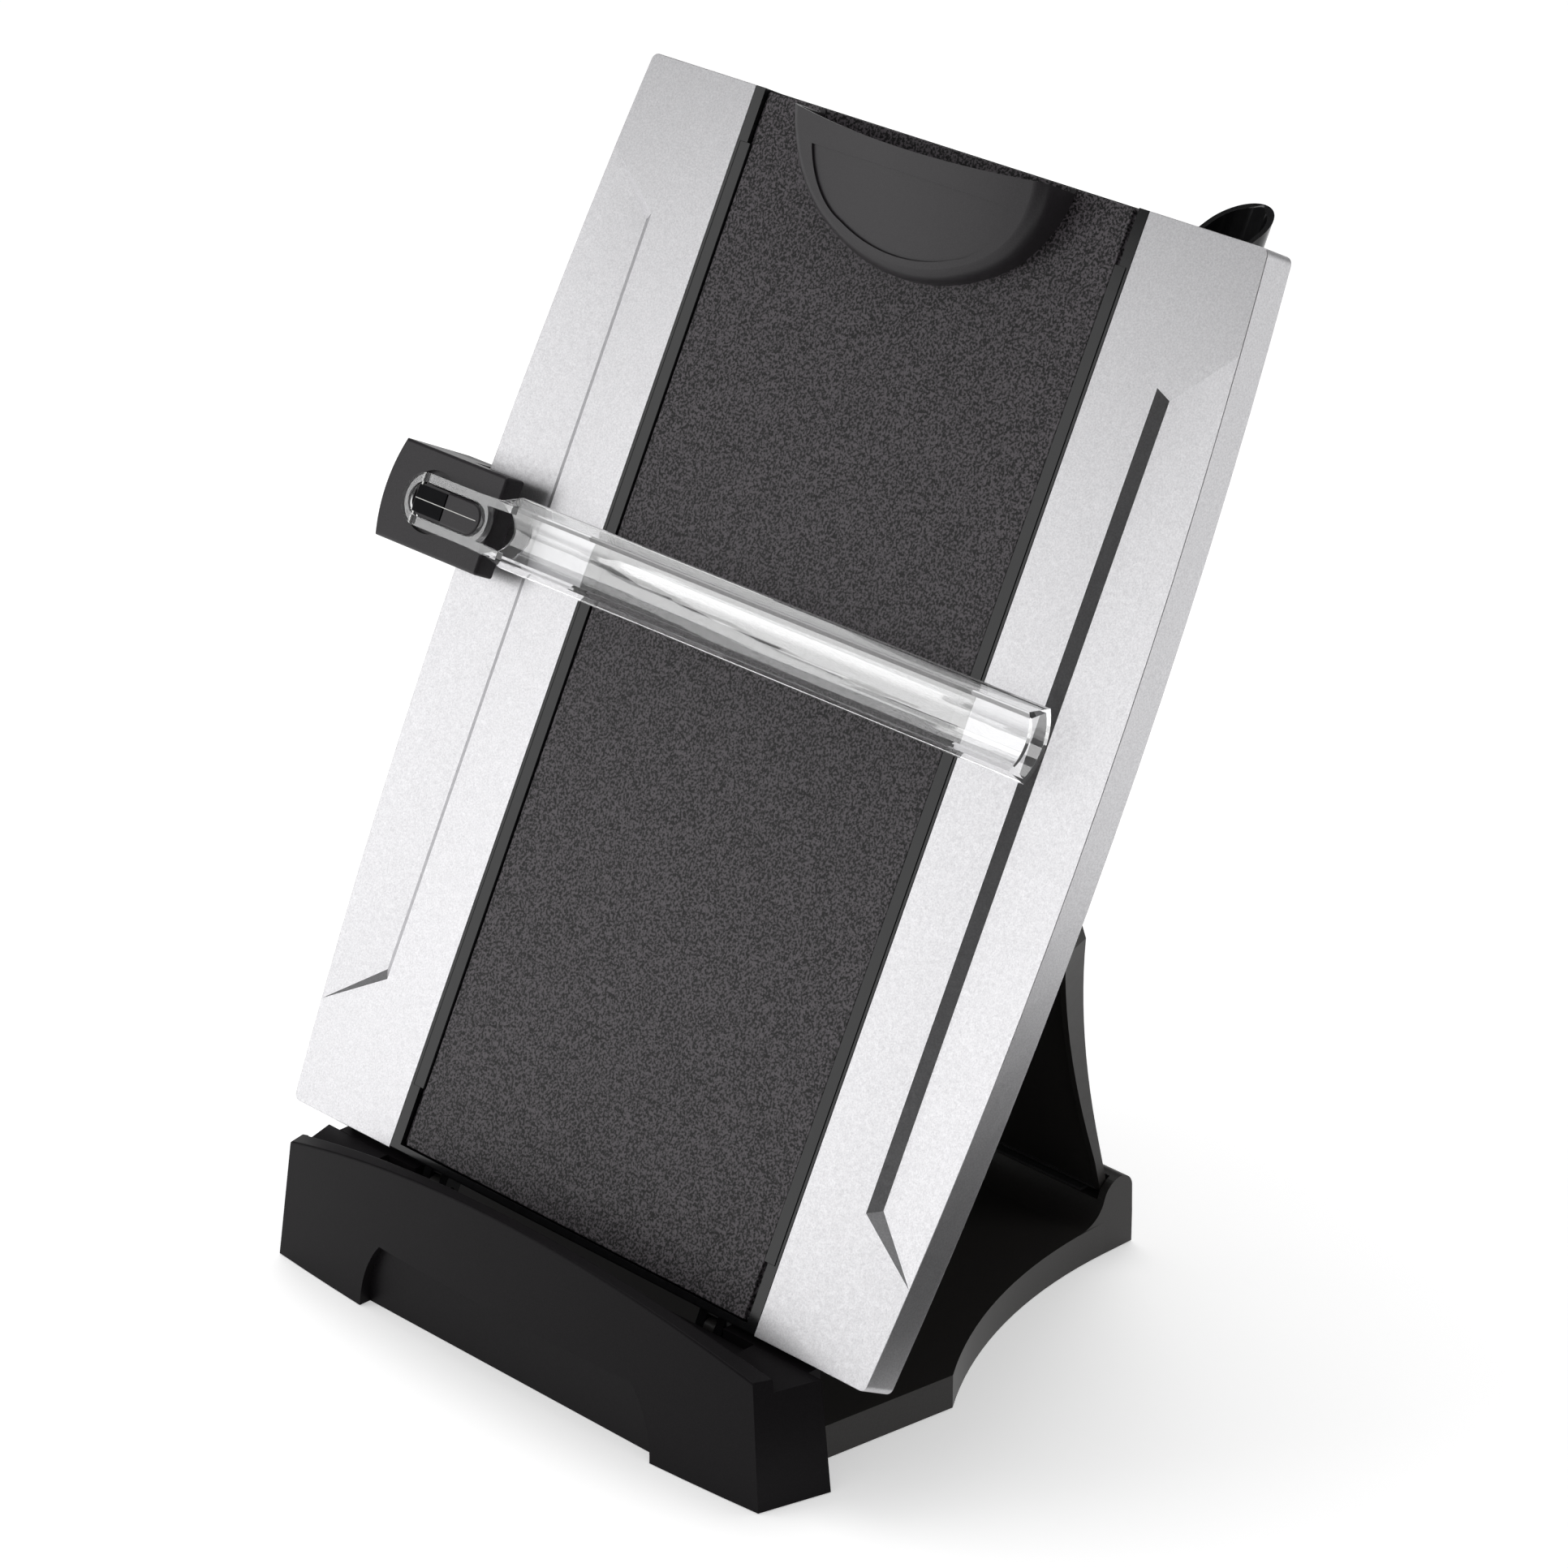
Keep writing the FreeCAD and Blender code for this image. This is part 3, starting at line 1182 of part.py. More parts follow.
def make_leg_seat_pad():
    """A rubber strip in the rim's seat, under the end of the leg."""
    body = new_body("leg_seat_pad")
    strip = new_sketch(body, "strip", offset="(toe_z - leg_seat_gap - leg_strip_thick)")
    block(strip, "-leg_half_foot * 0.9", "(heel_y - leg_flange_foot * 1.6)",
          "leg_half_foot * 0.9", "(heel_y - leg_seat_gap)")
    pad(body, "strip", strip, "leg_strip_thick - seat_fit")
    return body


# ---------------------------------------------------------------- support leg
def leg_outline(sketch, inset, foot, head):
    """The leg's flared outline, from the foot up to the straight part by the hinge."""
    def out(text):
        return "(%s - (%s))" % (text, inset)
    ankle, calf, top = ("(-leg_reach + %s)" % up for up in ("leg_ankle_up", "leg_calf_up", "leg_top_up"))
    trace(sketch,
          (out("leg_half_foot"), foot),
          (out("leg_half_ankle"), ankle),
          ("arc", out("leg_half_calf"), calf),
          (out("leg_half_top"), top),
          (out("leg_half_top"), head),
          ("-" + out("leg_half_top"), head),
          ("-" + out("leg_half_top"), top),
          ("arc", "-" + out("leg_half_calf"), calf),
          ("-" + out("leg_half_ankle"), ankle),
          ("-" + out("leg_half_foot"), foot))


def make_support_leg():
    """A flanged tray that flares towards its hinge, with a knuckle each side."""
    body = new_body("support_leg", in_leg_frame)
    outline = new_sketch(body, "outline", offset="-leg_back")
    leg_outline(outline, "0", "-leg_reach", "-leg_head_drop")
    pad(body, "outline", outline, "leg_flange")
    dish = new_sketch(body, "dish", offset="leg_flange - leg_back")
    leg_outline(dish, "leg_wall", "-leg_reach - 1", "-leg_head_drop - leg_wall")
    pocket(body, "dish", dish, "leg_flange - leg_skin")
    taper = new_sketch(body, "taper", "YZ_Plane")
    trace(taper,
          ("-leg_reach - 1", "leg_flange_foot - leg_back"),
          ("-leg_reach + leg_ankle_up / 2", "leg_flange_foot - leg_back"),
          ("-leg_reach + leg_top_up", "leg_flange - leg_back + 0.01"),
          ("-leg_reach + leg_top_up", "leg_flange * 2"),
          ("-leg_reach - 1", "leg_flange * 2"))
    through(body, "taper", taper)

    rib = new_sketch(body, "rib", offset="-leg_back + leg_skin / 2")
    block(rib, "-leg_half_foot * 0.55", "-leg_reach + leg_top_up * 0.7",
          "-leg_half_foot * 0.55 + leg_wall", "-leg_head_drop - leg_wall / 2")
    ribs = pad(body, "rib", rib, "leg_flange * 0.5")
    row_of(body, ribs, "X_Axis", 3, "(leg_half_foot * 1.1 - leg_wall) / 2")

    for side in (1, -1):
        knuckle = new_sketch(body, "knuckle%d" % (side + 1), "YZ_Plane",
                             "%s - leg_knuckle_width / 2" % signed(side, "leg_knuckle_half"))
        trace(knuckle,
              ("-leg_head_drop - leg_wall / 2", "-leg_back"),
              ("0 * leg_back", "-leg_knuckle_radius"),
              ("arc", "leg_knuckle_radius", "0 * leg_back"),
              ("0 * leg_back", "leg_knuckle_radius"),
              ("-leg_head_drop - leg_wall / 2", "leg_flange - leg_back"))
        pad(body, "knuckle%d" % (side + 1), knuckle, "leg_knuckle_width")
    bore = new_sketch(body, "bore", "YZ_Plane")
    disc(bore, "0 * leg_back", "0 * leg_back", "leg_pin_radius + pin_fit")
    through(body, "bore", bore)
    return body


def make_leg_foot_strip():
    """The rubber edge along the end of the leg."""
    body = new_body("leg_foot_strip", in_leg_frame)
    strip = new_sketch(body, "strip", "XZ_Plane", "leg_reach")
    block(strip, "-(leg_half_foot - leg_wall)", "-leg_back", "leg_half_foot - leg_wall", "leg_flange_foot - leg_back")
    pad(body, "strip", strip, "leg_strip_thick")
    soften(body, "leg_strip_thick / 2", lambda edge: lies_at(edge, 1, "-(leg_reach + leg_strip_thick)")
           and along(edge, 0))
    return body


# ---------------------------------------------------------------- clamp


def clamp_outline(sketch, inner, inset):
    """The clamp seen from the front, with its bowed outer end."""
    trace(sketch,
          ("-" + inner, "clamp_low + %s" % inset),
          ("-" + inner, "clamp_high - %s" % inset),
          ("-clamp_outer + %s" % inset, "clamp_high - %s" % inset),
          ("arc", "-clamp_outer - clamp_bulge + %s" % inset, "clamp_height"),
          ("-clamp_outer + %s" % inset, "clamp_low + %s" % inset))


def make_clamp_front():
    """The front half of the clamp: a thick face plate and half of the web round the board's edge."""
    body = new_body("clamp_front", in_board_frame)
    outline = new_sketch(body, "outline", offset="mid_edge")
    clamp_outline(outline, "clamp_inner", "0")
    pad(body, "outline", outline, "clamp_face + pivot_deep")
    inner = number("-clamp_inner") - 1
    soften(body, "clamp_round", lambda edge: lies_at(edge, 2, "clamp_face") or
           (along(edge, 2) and edge.CenterOfMass.x > inner))
    gap = new_sketch(body, "gap", "XZ_Plane")
    block(gap, "-clamp_web", "mid_edge - 1", "-clamp_inner + 1", "clamp_gap")
    through(body, "gap", gap)
    moat = new_sketch(body, "moat", offset="clamp_face")
    slot(moat, "-ring_outer - ring_bar / 2", "-guide_axis_out + ring_half_height * 1.6", "clamp_height",
         "ring_half_height + ring_bar / 2")
    pocket(body, "moat", moat, "moat_depth")
    pilots = new_sketch(body, "pilots", offset="mid_edge")
    for side in (1, -1):
        disc(pilots, "-clamp_screw_out", "clamp_height + %s" % signed(side, "clamp_screw_half"),
             "screw_radius - seat_fit")
    pocket(body, "pilots", pilots, "clamp_face", Reversed=True)
    return body


def make_clamp_rear():
    """The rear half: the other part of the web and the jaw behind the board."""
    body = new_body("clamp_rear", in_board_frame)
    outline = new_sketch(body, "outline", offset="mid_edge")
    clamp_outline(outline, "clamp_jaw_inner", "0")
    pad(body, "outline", outline, "board_thick + clamp_jaw_gap + clamp_jaw_thick - pivot_deep", Reversed=True)
    inner = number("-clamp_jaw_inner") - 1
    soften(body, "clamp_round", lambda edge: lies_at(edge, 2, "-(board_thick + clamp_jaw_gap + clamp_jaw_thick)")
           or (along(edge, 2) and edge.CenterOfMass.x > inner))
    gap = new_sketch(body, "gap", "XZ_Plane")
    block(gap, "-clamp_web", "jaw_face", "-clamp_jaw_inner + 1", "mid_edge + 1")
    through(body, "gap", gap)
    heads = new_sketch(body, "heads", offset="-(board_thick + clamp_jaw_gap + clamp_jaw_thick)")
    holes = new_sketch(body, "holes", offset="-(board_thick + clamp_jaw_gap + clamp_jaw_thick)")
    for side in (1, -1):
        up = "clamp_height + %s" % signed(side, "clamp_screw_half")
        disc(heads, "-clamp_screw_out", up, "screw_head_radius + seat_fit")
        disc(holes, "-clamp_screw_out", up, "screw_radius + seat_fit")
    pocket(body, "heads", heads, "screw_head_thick + seat_fit", Reversed=True)
    pocket(body, "holes", holes, "clamp_face * 2", Reversed=True)
    return body


def make_clamp_screws():
    body = new_body("clamp_screws", in_board_frame)
    body.AllowCompound = True
    seat = "-(board_thick + clamp_jaw_gap + clamp_jaw_thick - screw_head_thick)"
    heads = new_sketch(body, "heads", offset=seat)
    shanks = new_sketch(body, "shanks", offset=seat)
    for side in (1, -1):
        up = "clamp_height + %s" % signed(side, "clamp_screw_half")
        disc(heads, "-clamp_screw_out", up, "screw_head_radius")
        disc(shanks, "-clamp_screw_out", up, "screw_radius - seat_fit")
    pad(body, "heads", heads, "screw_head_thick", Reversed=True)
    pad(body, "shanks", shanks, "board_thick + clamp_gap")
    return body


def make_clamp_spring():
    """A bowed leaf on the jaw that presses the board's back."""
    body = new_body("clamp_spring", in_board_frame)
    low = "jaw_face"
    high = "-(board_thick + slide_fit)"
    leaf = new_sketch(body, "leaf", "XZ_Plane", "-(clamp_height - clamp_half_length / 2)")
    middle = "-(clamp_web + clamp_jaw_inner) / 2"
    trace(leaf,
          ("-clamp_web + slide_fit", low),
          ("arc", middle, "%s - spring_thick" % high),
          ("-clamp_jaw_inner - clamp_round * 2", low),
          ("-clamp_jaw_inner - clamp_round * 2", "%s + spring_thick" % low),
          ("arc", middle, high),
          ("-clamp_web + slide_fit", "%s + spring_thick" % low))
    pad(body, "leaf", leaf, "clamp_half_length", Reversed=True)
    return body


def make_glide_pad():
    """The low-friction pad between the clamp's face plate and the front of the board."""
    body = new_body("clamp_glide_pad", in_board_frame)
    plan = new_sketch(body, "plan", offset="slide_fit")
    block(plan, "-clamp_web + slide_fit", "clamp_low + clamp_round * 2",
          "-clamp_web + slide_fit + glide_pad_width", "clamp_high - clamp_round * 2")
    pad(body, "plan", plan, "clamp_gap - slide_fit")
    soften(body, "clamp_round", lambda edge: along(edge, 2))
    return body


def make_guide_boss():
    """The obround boss inside the guide's ring, with a sunk square and the seats of the guide's pins."""
    body = new_body("guide_boss", in_board_frame)
    outline = new_sketch(body, "outline", offset="clamp_face - moat_depth")
    gap = "(ring_bar + boss_gap)"
    slot(outline, "-ring_outer + %s + boss_gap" % gap, "-ring_inner - %s" % gap, "clamp_height",
         "ring_half_height - %s" % gap)
    pad(body, "outline", outline, "boss_top - clamp_face + moat_depth")
    floor_gap = new_sketch(body, "foot", "XZ_Plane")
    block(floor_gap, "-guide_axis_out + ring_half_height * 1.6 - ring_bar * 2", "clamp_face - moat_depth - 1",
          "-ring_inner + 1", "clamp_face")
    through(body, "foot", floor_gap)
    soften(body, "edge_soft", lambda edge: lies_at(edge, 2, "boss_top"))
    window = new_sketch(body, "window", offset="boss_top")
    block(window, "-boss_window_centre - boss_window / 2", "clamp_height - boss_window / 2.6",
          "-boss_window_centre + boss_window / 2", "clamp_height + boss_window / 2.6")
    pocket(body, "window", window, "moat_depth / 3")
    bore = new_sketch(body, "bore", "XZ_Plane")
    disc(bore, "-guide_axis_out", "guide_axis_high", "guide_pin_radius + pin_fit")
    through(body, "bore", bore)
    return body


def make_guide_pin():
    """The thin steel pin that the guide's ring turns on."""
    body = new_body("guide_pivot_pin", in_board_frame)
    end = new_sketch(body, "end", "XZ_Plane", "-(clamp_height - ring_half_height + slide_fit)")
    disc(end, "-guide_axis_out", "guide_axis_high", "guide_pin_radius")
    pad(body, "end", end, "ring_half_height * 2 - slide_fit * 2", Reversed=True)
    soften(body, "guide_pin_radius / 4", lambda edge: not is_line(edge), "Chamfer")
    return body


def crescent(sketch, wall):
    """The bar's section: a hollow front, walls that spread backward and a bulging back."""
    front_low = "(clamp_height - bar_front_half + %s)" % wall
    front_high = "(clamp_height + bar_front_half - %s)" % wall
    back_low = "(clamp_height - bar_half_height + %s)" % wall
    back_high = "(clamp_height + bar_half_height - %s)" % wall
    trace(sketch,
          (front_low, "bar_front_edge - %s * 1.3" % wall),
          ("arc", "clamp_height", "bar_front_middle - %s" % wall),
          (front_high, "bar_front_edge - %s * 1.3" % wall),
          (back_high, "bar_back_edge + %s * 0.8" % wall),
          ("arc", "clamp_height", "bar_back_middle + %s" % wall),
          (back_low, "bar_back_edge + %s * 0.8" % wall))


def make_line_guide():
    """The clear guide: an obround ring, two arms and a hollow crescent bar in one moulding."""
    body = new_body("line_guide_bar", in_board_frame)
    section = new_sketch(body, "section", "YZ_Plane", "-bar_start")
    crescent(section, "(0 * bar_wall)")
    pad(body, "section", section, "bar_start + bar_end")
    hollow = new_sketch(body, "hollow", "YZ_Plane", "-bar_start - 1")
    crescent(hollow, "bar_wall")
    pocket(body, "hollow", hollow, "bar_start + bar_end + 9", Reversed=True)
    bite = new_sketch(body, "bite")
    disc(bite, "-bar_bite_centre", "clamp_height", "bar_bite_radius")
    through(body, "bite", bite)

    arms = new_sketch(body, "arms", offset="ring_low")
    for side in (1, -1):
        def up(text, side=side):
            return "clamp_height + %s" % signed(side, text)
        trace(arms,
              ("-bar_start - ring_half_height", up("(ring_half_height)")),
              ("-bar_start - ring_half_height", up("(ring_half_height - ring_bar)")),
              ("-arm_reach + arm_width", up("(bar_front_half - arm_width)")),
              ("-arm_reach + arm_width", up("(bar_front_half)")),
              ("-bar_start", up("(bar_front_half)")))
    pad(body, "arms", arms, "ring_top - ring_low")
    ring = new_sketch(body, "ring", offset="ring_low")
    slot(ring, "-ring_outer", "-ring_inner", "clamp_height", "ring_half_height")
    slot(ring, "-ring_outer + ring_bar", "-ring_inner - ring_bar", "clamp_height", "ring_half_height - ring_bar")
    pad(body, "ring", ring, "ring_top - ring_low")
    bore = new_sketch(body, "bore", "XZ_Plane")
    disc(bore, "-guide_axis_out", "guide_axis_high", "guide_pin_radius + pin_fit")
    through(body, "bore", bore)
    return body


# ---------------------------------------------------------------- assembly
def build_all():
    """Every sub-part, in the order in which the stand goes together."""
    return [
        make_base_plate(),
        make_front_ledge(),
        make_base_screws(),
        make_grip_strip(),
        make_rubber_feet(),
        make_hinge_pins("board_hinge_pins", "hinge_half", "hinge_lug_gap + hinge_lug_thick * 2",
                        "hinge_pin_radius", "pivot_y", "pivot_z", None),
        make_leg_seat_pad(),
        make_board_frame(),
        make_wing("left_wing", -1),
        make_wing("right_wing", 1),
        make_rail("left_rail", -1),
        make_rail("right_rail", 1),
        make_rear_cover(),
        make_wing_screws(),
        make_leg_brackets(),
        make_pen_cup(),
        make_centre_panel(),
        make_panel_stops(),
        make_clip_cup(),
        make_support_leg(),
        make_leg_foot_strip(),
        make_hinge_pins("leg_hinge_pins", "leg_knuckle_half",
                        "leg_knuckle_width + slide_fit * 2 + leg_ear_thick * 2",
                        "leg_pin_radius", "0 * leg_back", "0 * leg_back", in_leg_frame),
        make_clamp_front(),
        make_clamp_rear(),
        make_clamp_screws(),
        make_clamp_spring(),
        make_glide_pad(),
        make_guide_boss(),
        make_guide_pin(),
        make_line_guide(),
    ]


def check(sub_parts):
    """Stop before anything is written if an object failed or a sub-part has no sound shape."""
    document.recompute()
    for thing in document.Objects:
        if "Invalid" in thing.State or "Error" in thing.State:
            raise RuntimeError("%s is in state %s" % (thing.Name, thing.State))
    for sub_part in sub_parts:
        shape = sub_part.Shape
        if shape.isNull() or not shape.isValid() or not shape.Solids:
            raise RuntimeError(sub_part.Label + " has no valid shape")


def export(sub_parts):
    os.makedirs("parts", exist_ok=True)
    for sub_part in sub_parts:
        sub_part.Shape.exportStep(os.path.join("parts", sub_part.Label + ".step"))


pieces = build_all()
check(pieces)
export(pieces)
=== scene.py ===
"""Copy holder with line guide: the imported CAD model, finished for rendering."""

import json
import math

import bmesh
import bpy
from mathutils import Matrix, Vector


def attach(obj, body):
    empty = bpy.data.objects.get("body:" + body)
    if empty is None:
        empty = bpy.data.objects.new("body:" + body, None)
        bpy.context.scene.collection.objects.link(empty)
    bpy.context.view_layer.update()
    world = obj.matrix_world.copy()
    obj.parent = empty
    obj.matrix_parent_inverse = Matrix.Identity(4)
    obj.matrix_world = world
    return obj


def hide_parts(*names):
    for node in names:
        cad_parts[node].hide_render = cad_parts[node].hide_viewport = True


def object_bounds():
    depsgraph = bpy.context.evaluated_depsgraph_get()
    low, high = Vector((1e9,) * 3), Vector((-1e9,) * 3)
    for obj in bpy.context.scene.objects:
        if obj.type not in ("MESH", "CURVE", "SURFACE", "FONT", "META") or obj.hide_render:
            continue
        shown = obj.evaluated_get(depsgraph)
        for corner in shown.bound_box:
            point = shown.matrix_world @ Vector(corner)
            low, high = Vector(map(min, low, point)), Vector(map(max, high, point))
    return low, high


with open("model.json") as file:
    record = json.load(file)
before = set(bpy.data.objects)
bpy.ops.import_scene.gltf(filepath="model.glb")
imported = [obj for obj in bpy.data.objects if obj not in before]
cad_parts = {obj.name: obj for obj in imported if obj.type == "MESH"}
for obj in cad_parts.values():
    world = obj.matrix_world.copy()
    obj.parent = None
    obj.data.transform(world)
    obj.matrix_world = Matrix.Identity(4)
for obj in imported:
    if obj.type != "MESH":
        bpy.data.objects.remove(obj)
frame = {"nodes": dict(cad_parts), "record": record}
cad_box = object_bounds()

MM = 0.001
BODIES = frame["record"]["behaviour"]["bodies"]
BODY_OF = {node: body for body, nodes in BODIES.items() for node in nodes}
SLOT_OF = {entry["node"]: entry["material_slot"] for entry in frame["record"]["subparts"]}

# ------------------------------------------------------------------ camera
CAMERA_PLACE = Vector((1132.585, -1014.728, 881.194)) * MM
CAMERA_RIGHT = Vector((0.697717, 0.716373, 0.0000364))
CAMERA_UP = Vector((-0.299112, 0.291276, 0.908675))
CAMERA_BACK = Vector((0.650940, -0.634009, 0.417504))
LENS = 136.901
SENSOR = 36.0
CLIP_START = 0.05


def make_camera():
    camera = bpy.data.objects.new("camera", bpy.data.cameras.new("camera"))
    bpy.context.scene.collection.objects.link(camera)
    turn = Matrix((CAMERA_RIGHT, CAMERA_UP, CAMERA_BACK)).transposed().to_4x4()
    camera.matrix_world = Matrix.Translation(CAMERA_PLACE) @ turn
    camera.data.lens = LENS
    camera.data.sensor_width = SENSOR
    camera.data.clip_start = CLIP_START
    bpy.context.scene.camera = camera


# ------------------------------------------------------------------ studio
def soft_box(name, place, target, width, height, power):
    """A rectangular lamp at place that faces target."""
    lamp = bpy.data.lights.new(name, "AREA")
    lamp.shape = "RECTANGLE"
    lamp.size = width
    lamp.size_y = height
    lamp.energy = power
    box = bpy.data.objects.new(name, lamp)
    bpy.context.scene.collection.objects.link(box)
    box.location = place
    box.rotation_euler = (Vector(place) - Vector(target)).to_track_quat("Z", "Y").to_euler()
    return box


def only_on(lamp, pieces):
    """The lamp lights the given pieces and nothing else."""
    group = bpy.data.collections.new(lamp.name + "_pieces")
    for piece in pieces:
        group.objects.link(piece)
    lamp.light_linking.receiver_collection = group


def not_on(lamp, pieces):
    """The lamp lights everything but the given pieces."""
    only_on(lamp, pieces)
    for entry in lamp.light_linking.receiver_collection.collection_objects:
        entry.light_linking.link_state = "EXCLUDE"


def black_card(name, corners):
    """A black card with the given corners that is seen in reflections only."""
    mesh = bpy.data.meshes.new(name)
    mesh.from_pydata(corners, [], [tuple(range(len(corners)))])
    mesh.materials.append(new_material(name, (0.004, 0.004, 0.004), 1.0, specular=0.0)[0])
    card = bpy.data.objects.new(name, mesh)
    bpy.context.scene.collection.objects.link(card)
    for kind in ("camera", "diffuse", "transmission", "volume_scatter", "shadow"):
        setattr(card, "visible_" + kind, False)


def either(tree, *sockets):
    """A socket that is 1 where any of the given sockets is 1."""
    total = sockets[0]
    for other in sockets[1:]:
        node = tree.nodes.new("ShaderNodeMath")
        node.operation = "MAXIMUM"
        tree.links.new(total, node.inputs[0])
        tree.links.new(other, node.inputs[1])
        total = node.outputs["Value"]
    return total


def blend(tree, share, low, high):
    """A number socket: low where share is 0 and high where it is 1. Both may be numbers or sockets."""
    node = tree.nodes.new("ShaderNodeMix")
    tree.links.new(share, node.inputs["Factor"])
    for name, value in (("A", low), ("B", high)):
        if isinstance(value, (int, float)):
            node.inputs[name].default_value = value
        else:
            tree.links.new(value, node.inputs[name])
    return node.outputs["Result"]


def make_world(ambient, sweep_top, dark_from, dark):
    """White where it is looked at. It lights the object at the ambient level, and reflections show a
    white sweep low down and a dark studio above it."""
    world = bpy.data.worlds.new("studio")
    bpy.context.scene.world = world
    world.use_nodes = True
    tree = world.node_tree
    background = tree.nodes["Background"]
    background.inputs["Color"].default_value = (1, 1, 1, 1)
    rays = tree.nodes.new("ShaderNodeLightPath").outputs
    place = tree.nodes.new("ShaderNodeTexCoord")
    axes = tree.nodes.new("ShaderNodeSeparateXYZ")
    tree.links.new(place.outputs["Generated"], axes.inputs["Vector"])
    sweep = tree.nodes.new("ShaderNodeMapRange")
    sweep.interpolation_type = "SMOOTHSTEP"
    sweep.inputs["From Min"].default_value = sweep_top
    sweep.inputs["From Max"].default_value = dark_from
    sweep.inputs["To Min"].default_value = 1.0
    sweep.inputs["To Max"].default_value = dark
    tree.links.new(axes.outputs["Z"], sweep.inputs["Value"])
    reflected = blend(tree, rays["Is Glossy Ray"], ambient, sweep.outputs["Result"])
    looked_at = either(tree, rays["Is Camera Ray"], rays["Is Transmission Ray"])
    tree.links.new(blend(tree, looked_at, reflected, 1.0), background.inputs["Strength"])


def make_floor(half_size, paleness, glow):
    """A plain white floor: its own colour keeps the shadow, and a little glow lifts it to the
    backdrop's white."""
    mesh = bpy.data.meshes.new("floor")
    corners = [(-1, -1), (1, -1), (1, 1), (-1, 1)]
    mesh.from_pydata([(x * half_size, y * half_size, 0) for x, y in corners], [], [(0, 1, 2, 3)])
    floor = bpy.data.objects.new("floor", mesh)
    bpy.context.scene.collection.objects.link(floor)
    material = bpy.data.materials.new("floor")
    material.use_nodes = True
    tree = material.node_tree
    shader = tree.nodes["Principled BSDF"]
    shader.inputs["Base Color"].default_value = (paleness, paleness, paleness, 1)
    shader.inputs["Roughness"].default_value = 0.9
    shader.inputs["Specular IOR Level"].default_value = 0.0
    shader.inputs["Emission Color"].default_value = (1, 1, 1, 1)
    lift = tree.nodes.new("ShaderNodeMath")
    lift.operation = "MULTIPLY"
    lift.inputs[1].default_value = glow
    rays = tree.nodes.new("ShaderNodeLightPath").outputs
    looked_at = either(tree, rays["Is Camera Ray"], rays["Is Glossy Ray"], rays["Is Transmission Ray"])
    tree.links.new(looked_at, lift.inputs[0])
    tree.links.new(lift.outputs["Value"], shader.inputs["Emission Strength"])
    mesh.materials.append(material)


# ------------------------------------------------------------------ materials
def new_material(name, colour, roughness, metallic=0.0, specular=0.5, coat=0.0, coat_roughness=0.1):
    """A Principled material. Returns the material, its tree and its shader."""
    material = bpy.data.materials.new(name)
    material.use_nodes = True
    tree = material.node_tree
    shader = tree.nodes["Principled BSDF"]
    shader.inputs["Base Color"].default_value = (*colour, 1)
    shader.inputs["Roughness"].default_value = roughness
    shader.inputs["Metallic"].default_value = metallic
    shader.inputs["Specular IOR Level"].default_value = specular
    shader.inputs["Coat Weight"].default_value = coat
    shader.inputs["Coat Roughness"].default_value = coat_roughness
    return material, tree, shader


# What the noise texture mostly stays between.
NOISE_LOW = 0.3
NOISE_HIGH = 0.7


def noise(tree, grain, detail=2.0, rough=0.5):
    """A noise socket whose features are about grain metres across."""
    place = tree.nodes.new("ShaderNodeTexCoord")
    texture = tree.nodes.new("ShaderNodeTexNoise")
    texture.inputs["Scale"].default_value = 1 / grain
    texture.inputs["Detail"].default_value = detail
    texture.inputs["Roughness"].default_value = rough
    tree.links.new(place.outputs["Object"], texture.inputs["Vector"])
    return texture.outputs["Fac"]


def ramp(tree, value, *stops):
    """A colour socket: each stop is (position, (r, g, b))."""
    node = tree.nodes.new("ShaderNodeValToRGB")
    for element, (position, colour) in zip(node.color_ramp.elements, stops):
        element.position = position
        element.color = (*colour, 1)
    tree.links.new(value, node.inputs["Fac"])
    return node.outputs["Color"]


def span(tree, value, low, high):
    """A number socket that runs from low to high as value runs through the noise's usual range."""
    node = tree.nodes.new("ShaderNodeMapRange")
    node.inputs["From Min"].default_value = NOISE_LOW
    node.inputs["From Max"].default_value = NOISE_HIGH
    node.inputs["To Min"].default_value = low
    node.inputs["To Max"].default_value = high
    tree.links.new(value, node.inputs["Value"])
    return node.outputs["Result"]


def bump(tree, shader, height, depth, strength):
    """Raises the surface by up to depth metres where height is 1."""
    node = tree.nodes.new("ShaderNodeBump")
    node.inputs["Distance"].default_value = depth
    node.inputs["Strength"].default_value = strength
    tree.links.new(height, node.inputs["Height"])
    tree.links.new(node.outputs["Normal"], shader.inputs["Normal"])


def silver_lacquer():
    material, tree, shader = new_material("silver", (0.66, 0.655, 0.67), 0.4, metallic=0.96)
    flakes = noise(tree, 0.55 * MM, detail=3.0, rough=0.75)
    tree.links.new(ramp(tree, flakes, (0.36, (0.58, 0.575, 0.59)), (0.64, (0.73, 0.725, 0.74))),
                   shader.inputs["Base Color"])
    tree.links.new(span(tree, noise(tree, 1.3 * MM), 0.37, 0.43), shader.inputs["Roughness"])
    bump(tree, shader, flakes, 0.02 * MM, 0.3)
    return material


def textured_charcoal():
    material, tree, shader = new_material("textured_charcoal", (0.03, 0.027, 0.03), 0.42, specular=0.4)
    grain = noise(tree, 0.75 * MM, detail=2.0, rough=0.6)
    tree.links.new(ramp(tree, grain, (0.44, (0.003, 0.0026, 0.003)), (0.57, (0.09, 0.079, 0.088))),
                   shader.inputs["Base Color"])
    tree.links.new(span(tree, grain, 0.6, 0.4), shader.inputs["Roughness"])
    bump(tree, shader, grain, 0.15 * MM, 0.7)
    return material


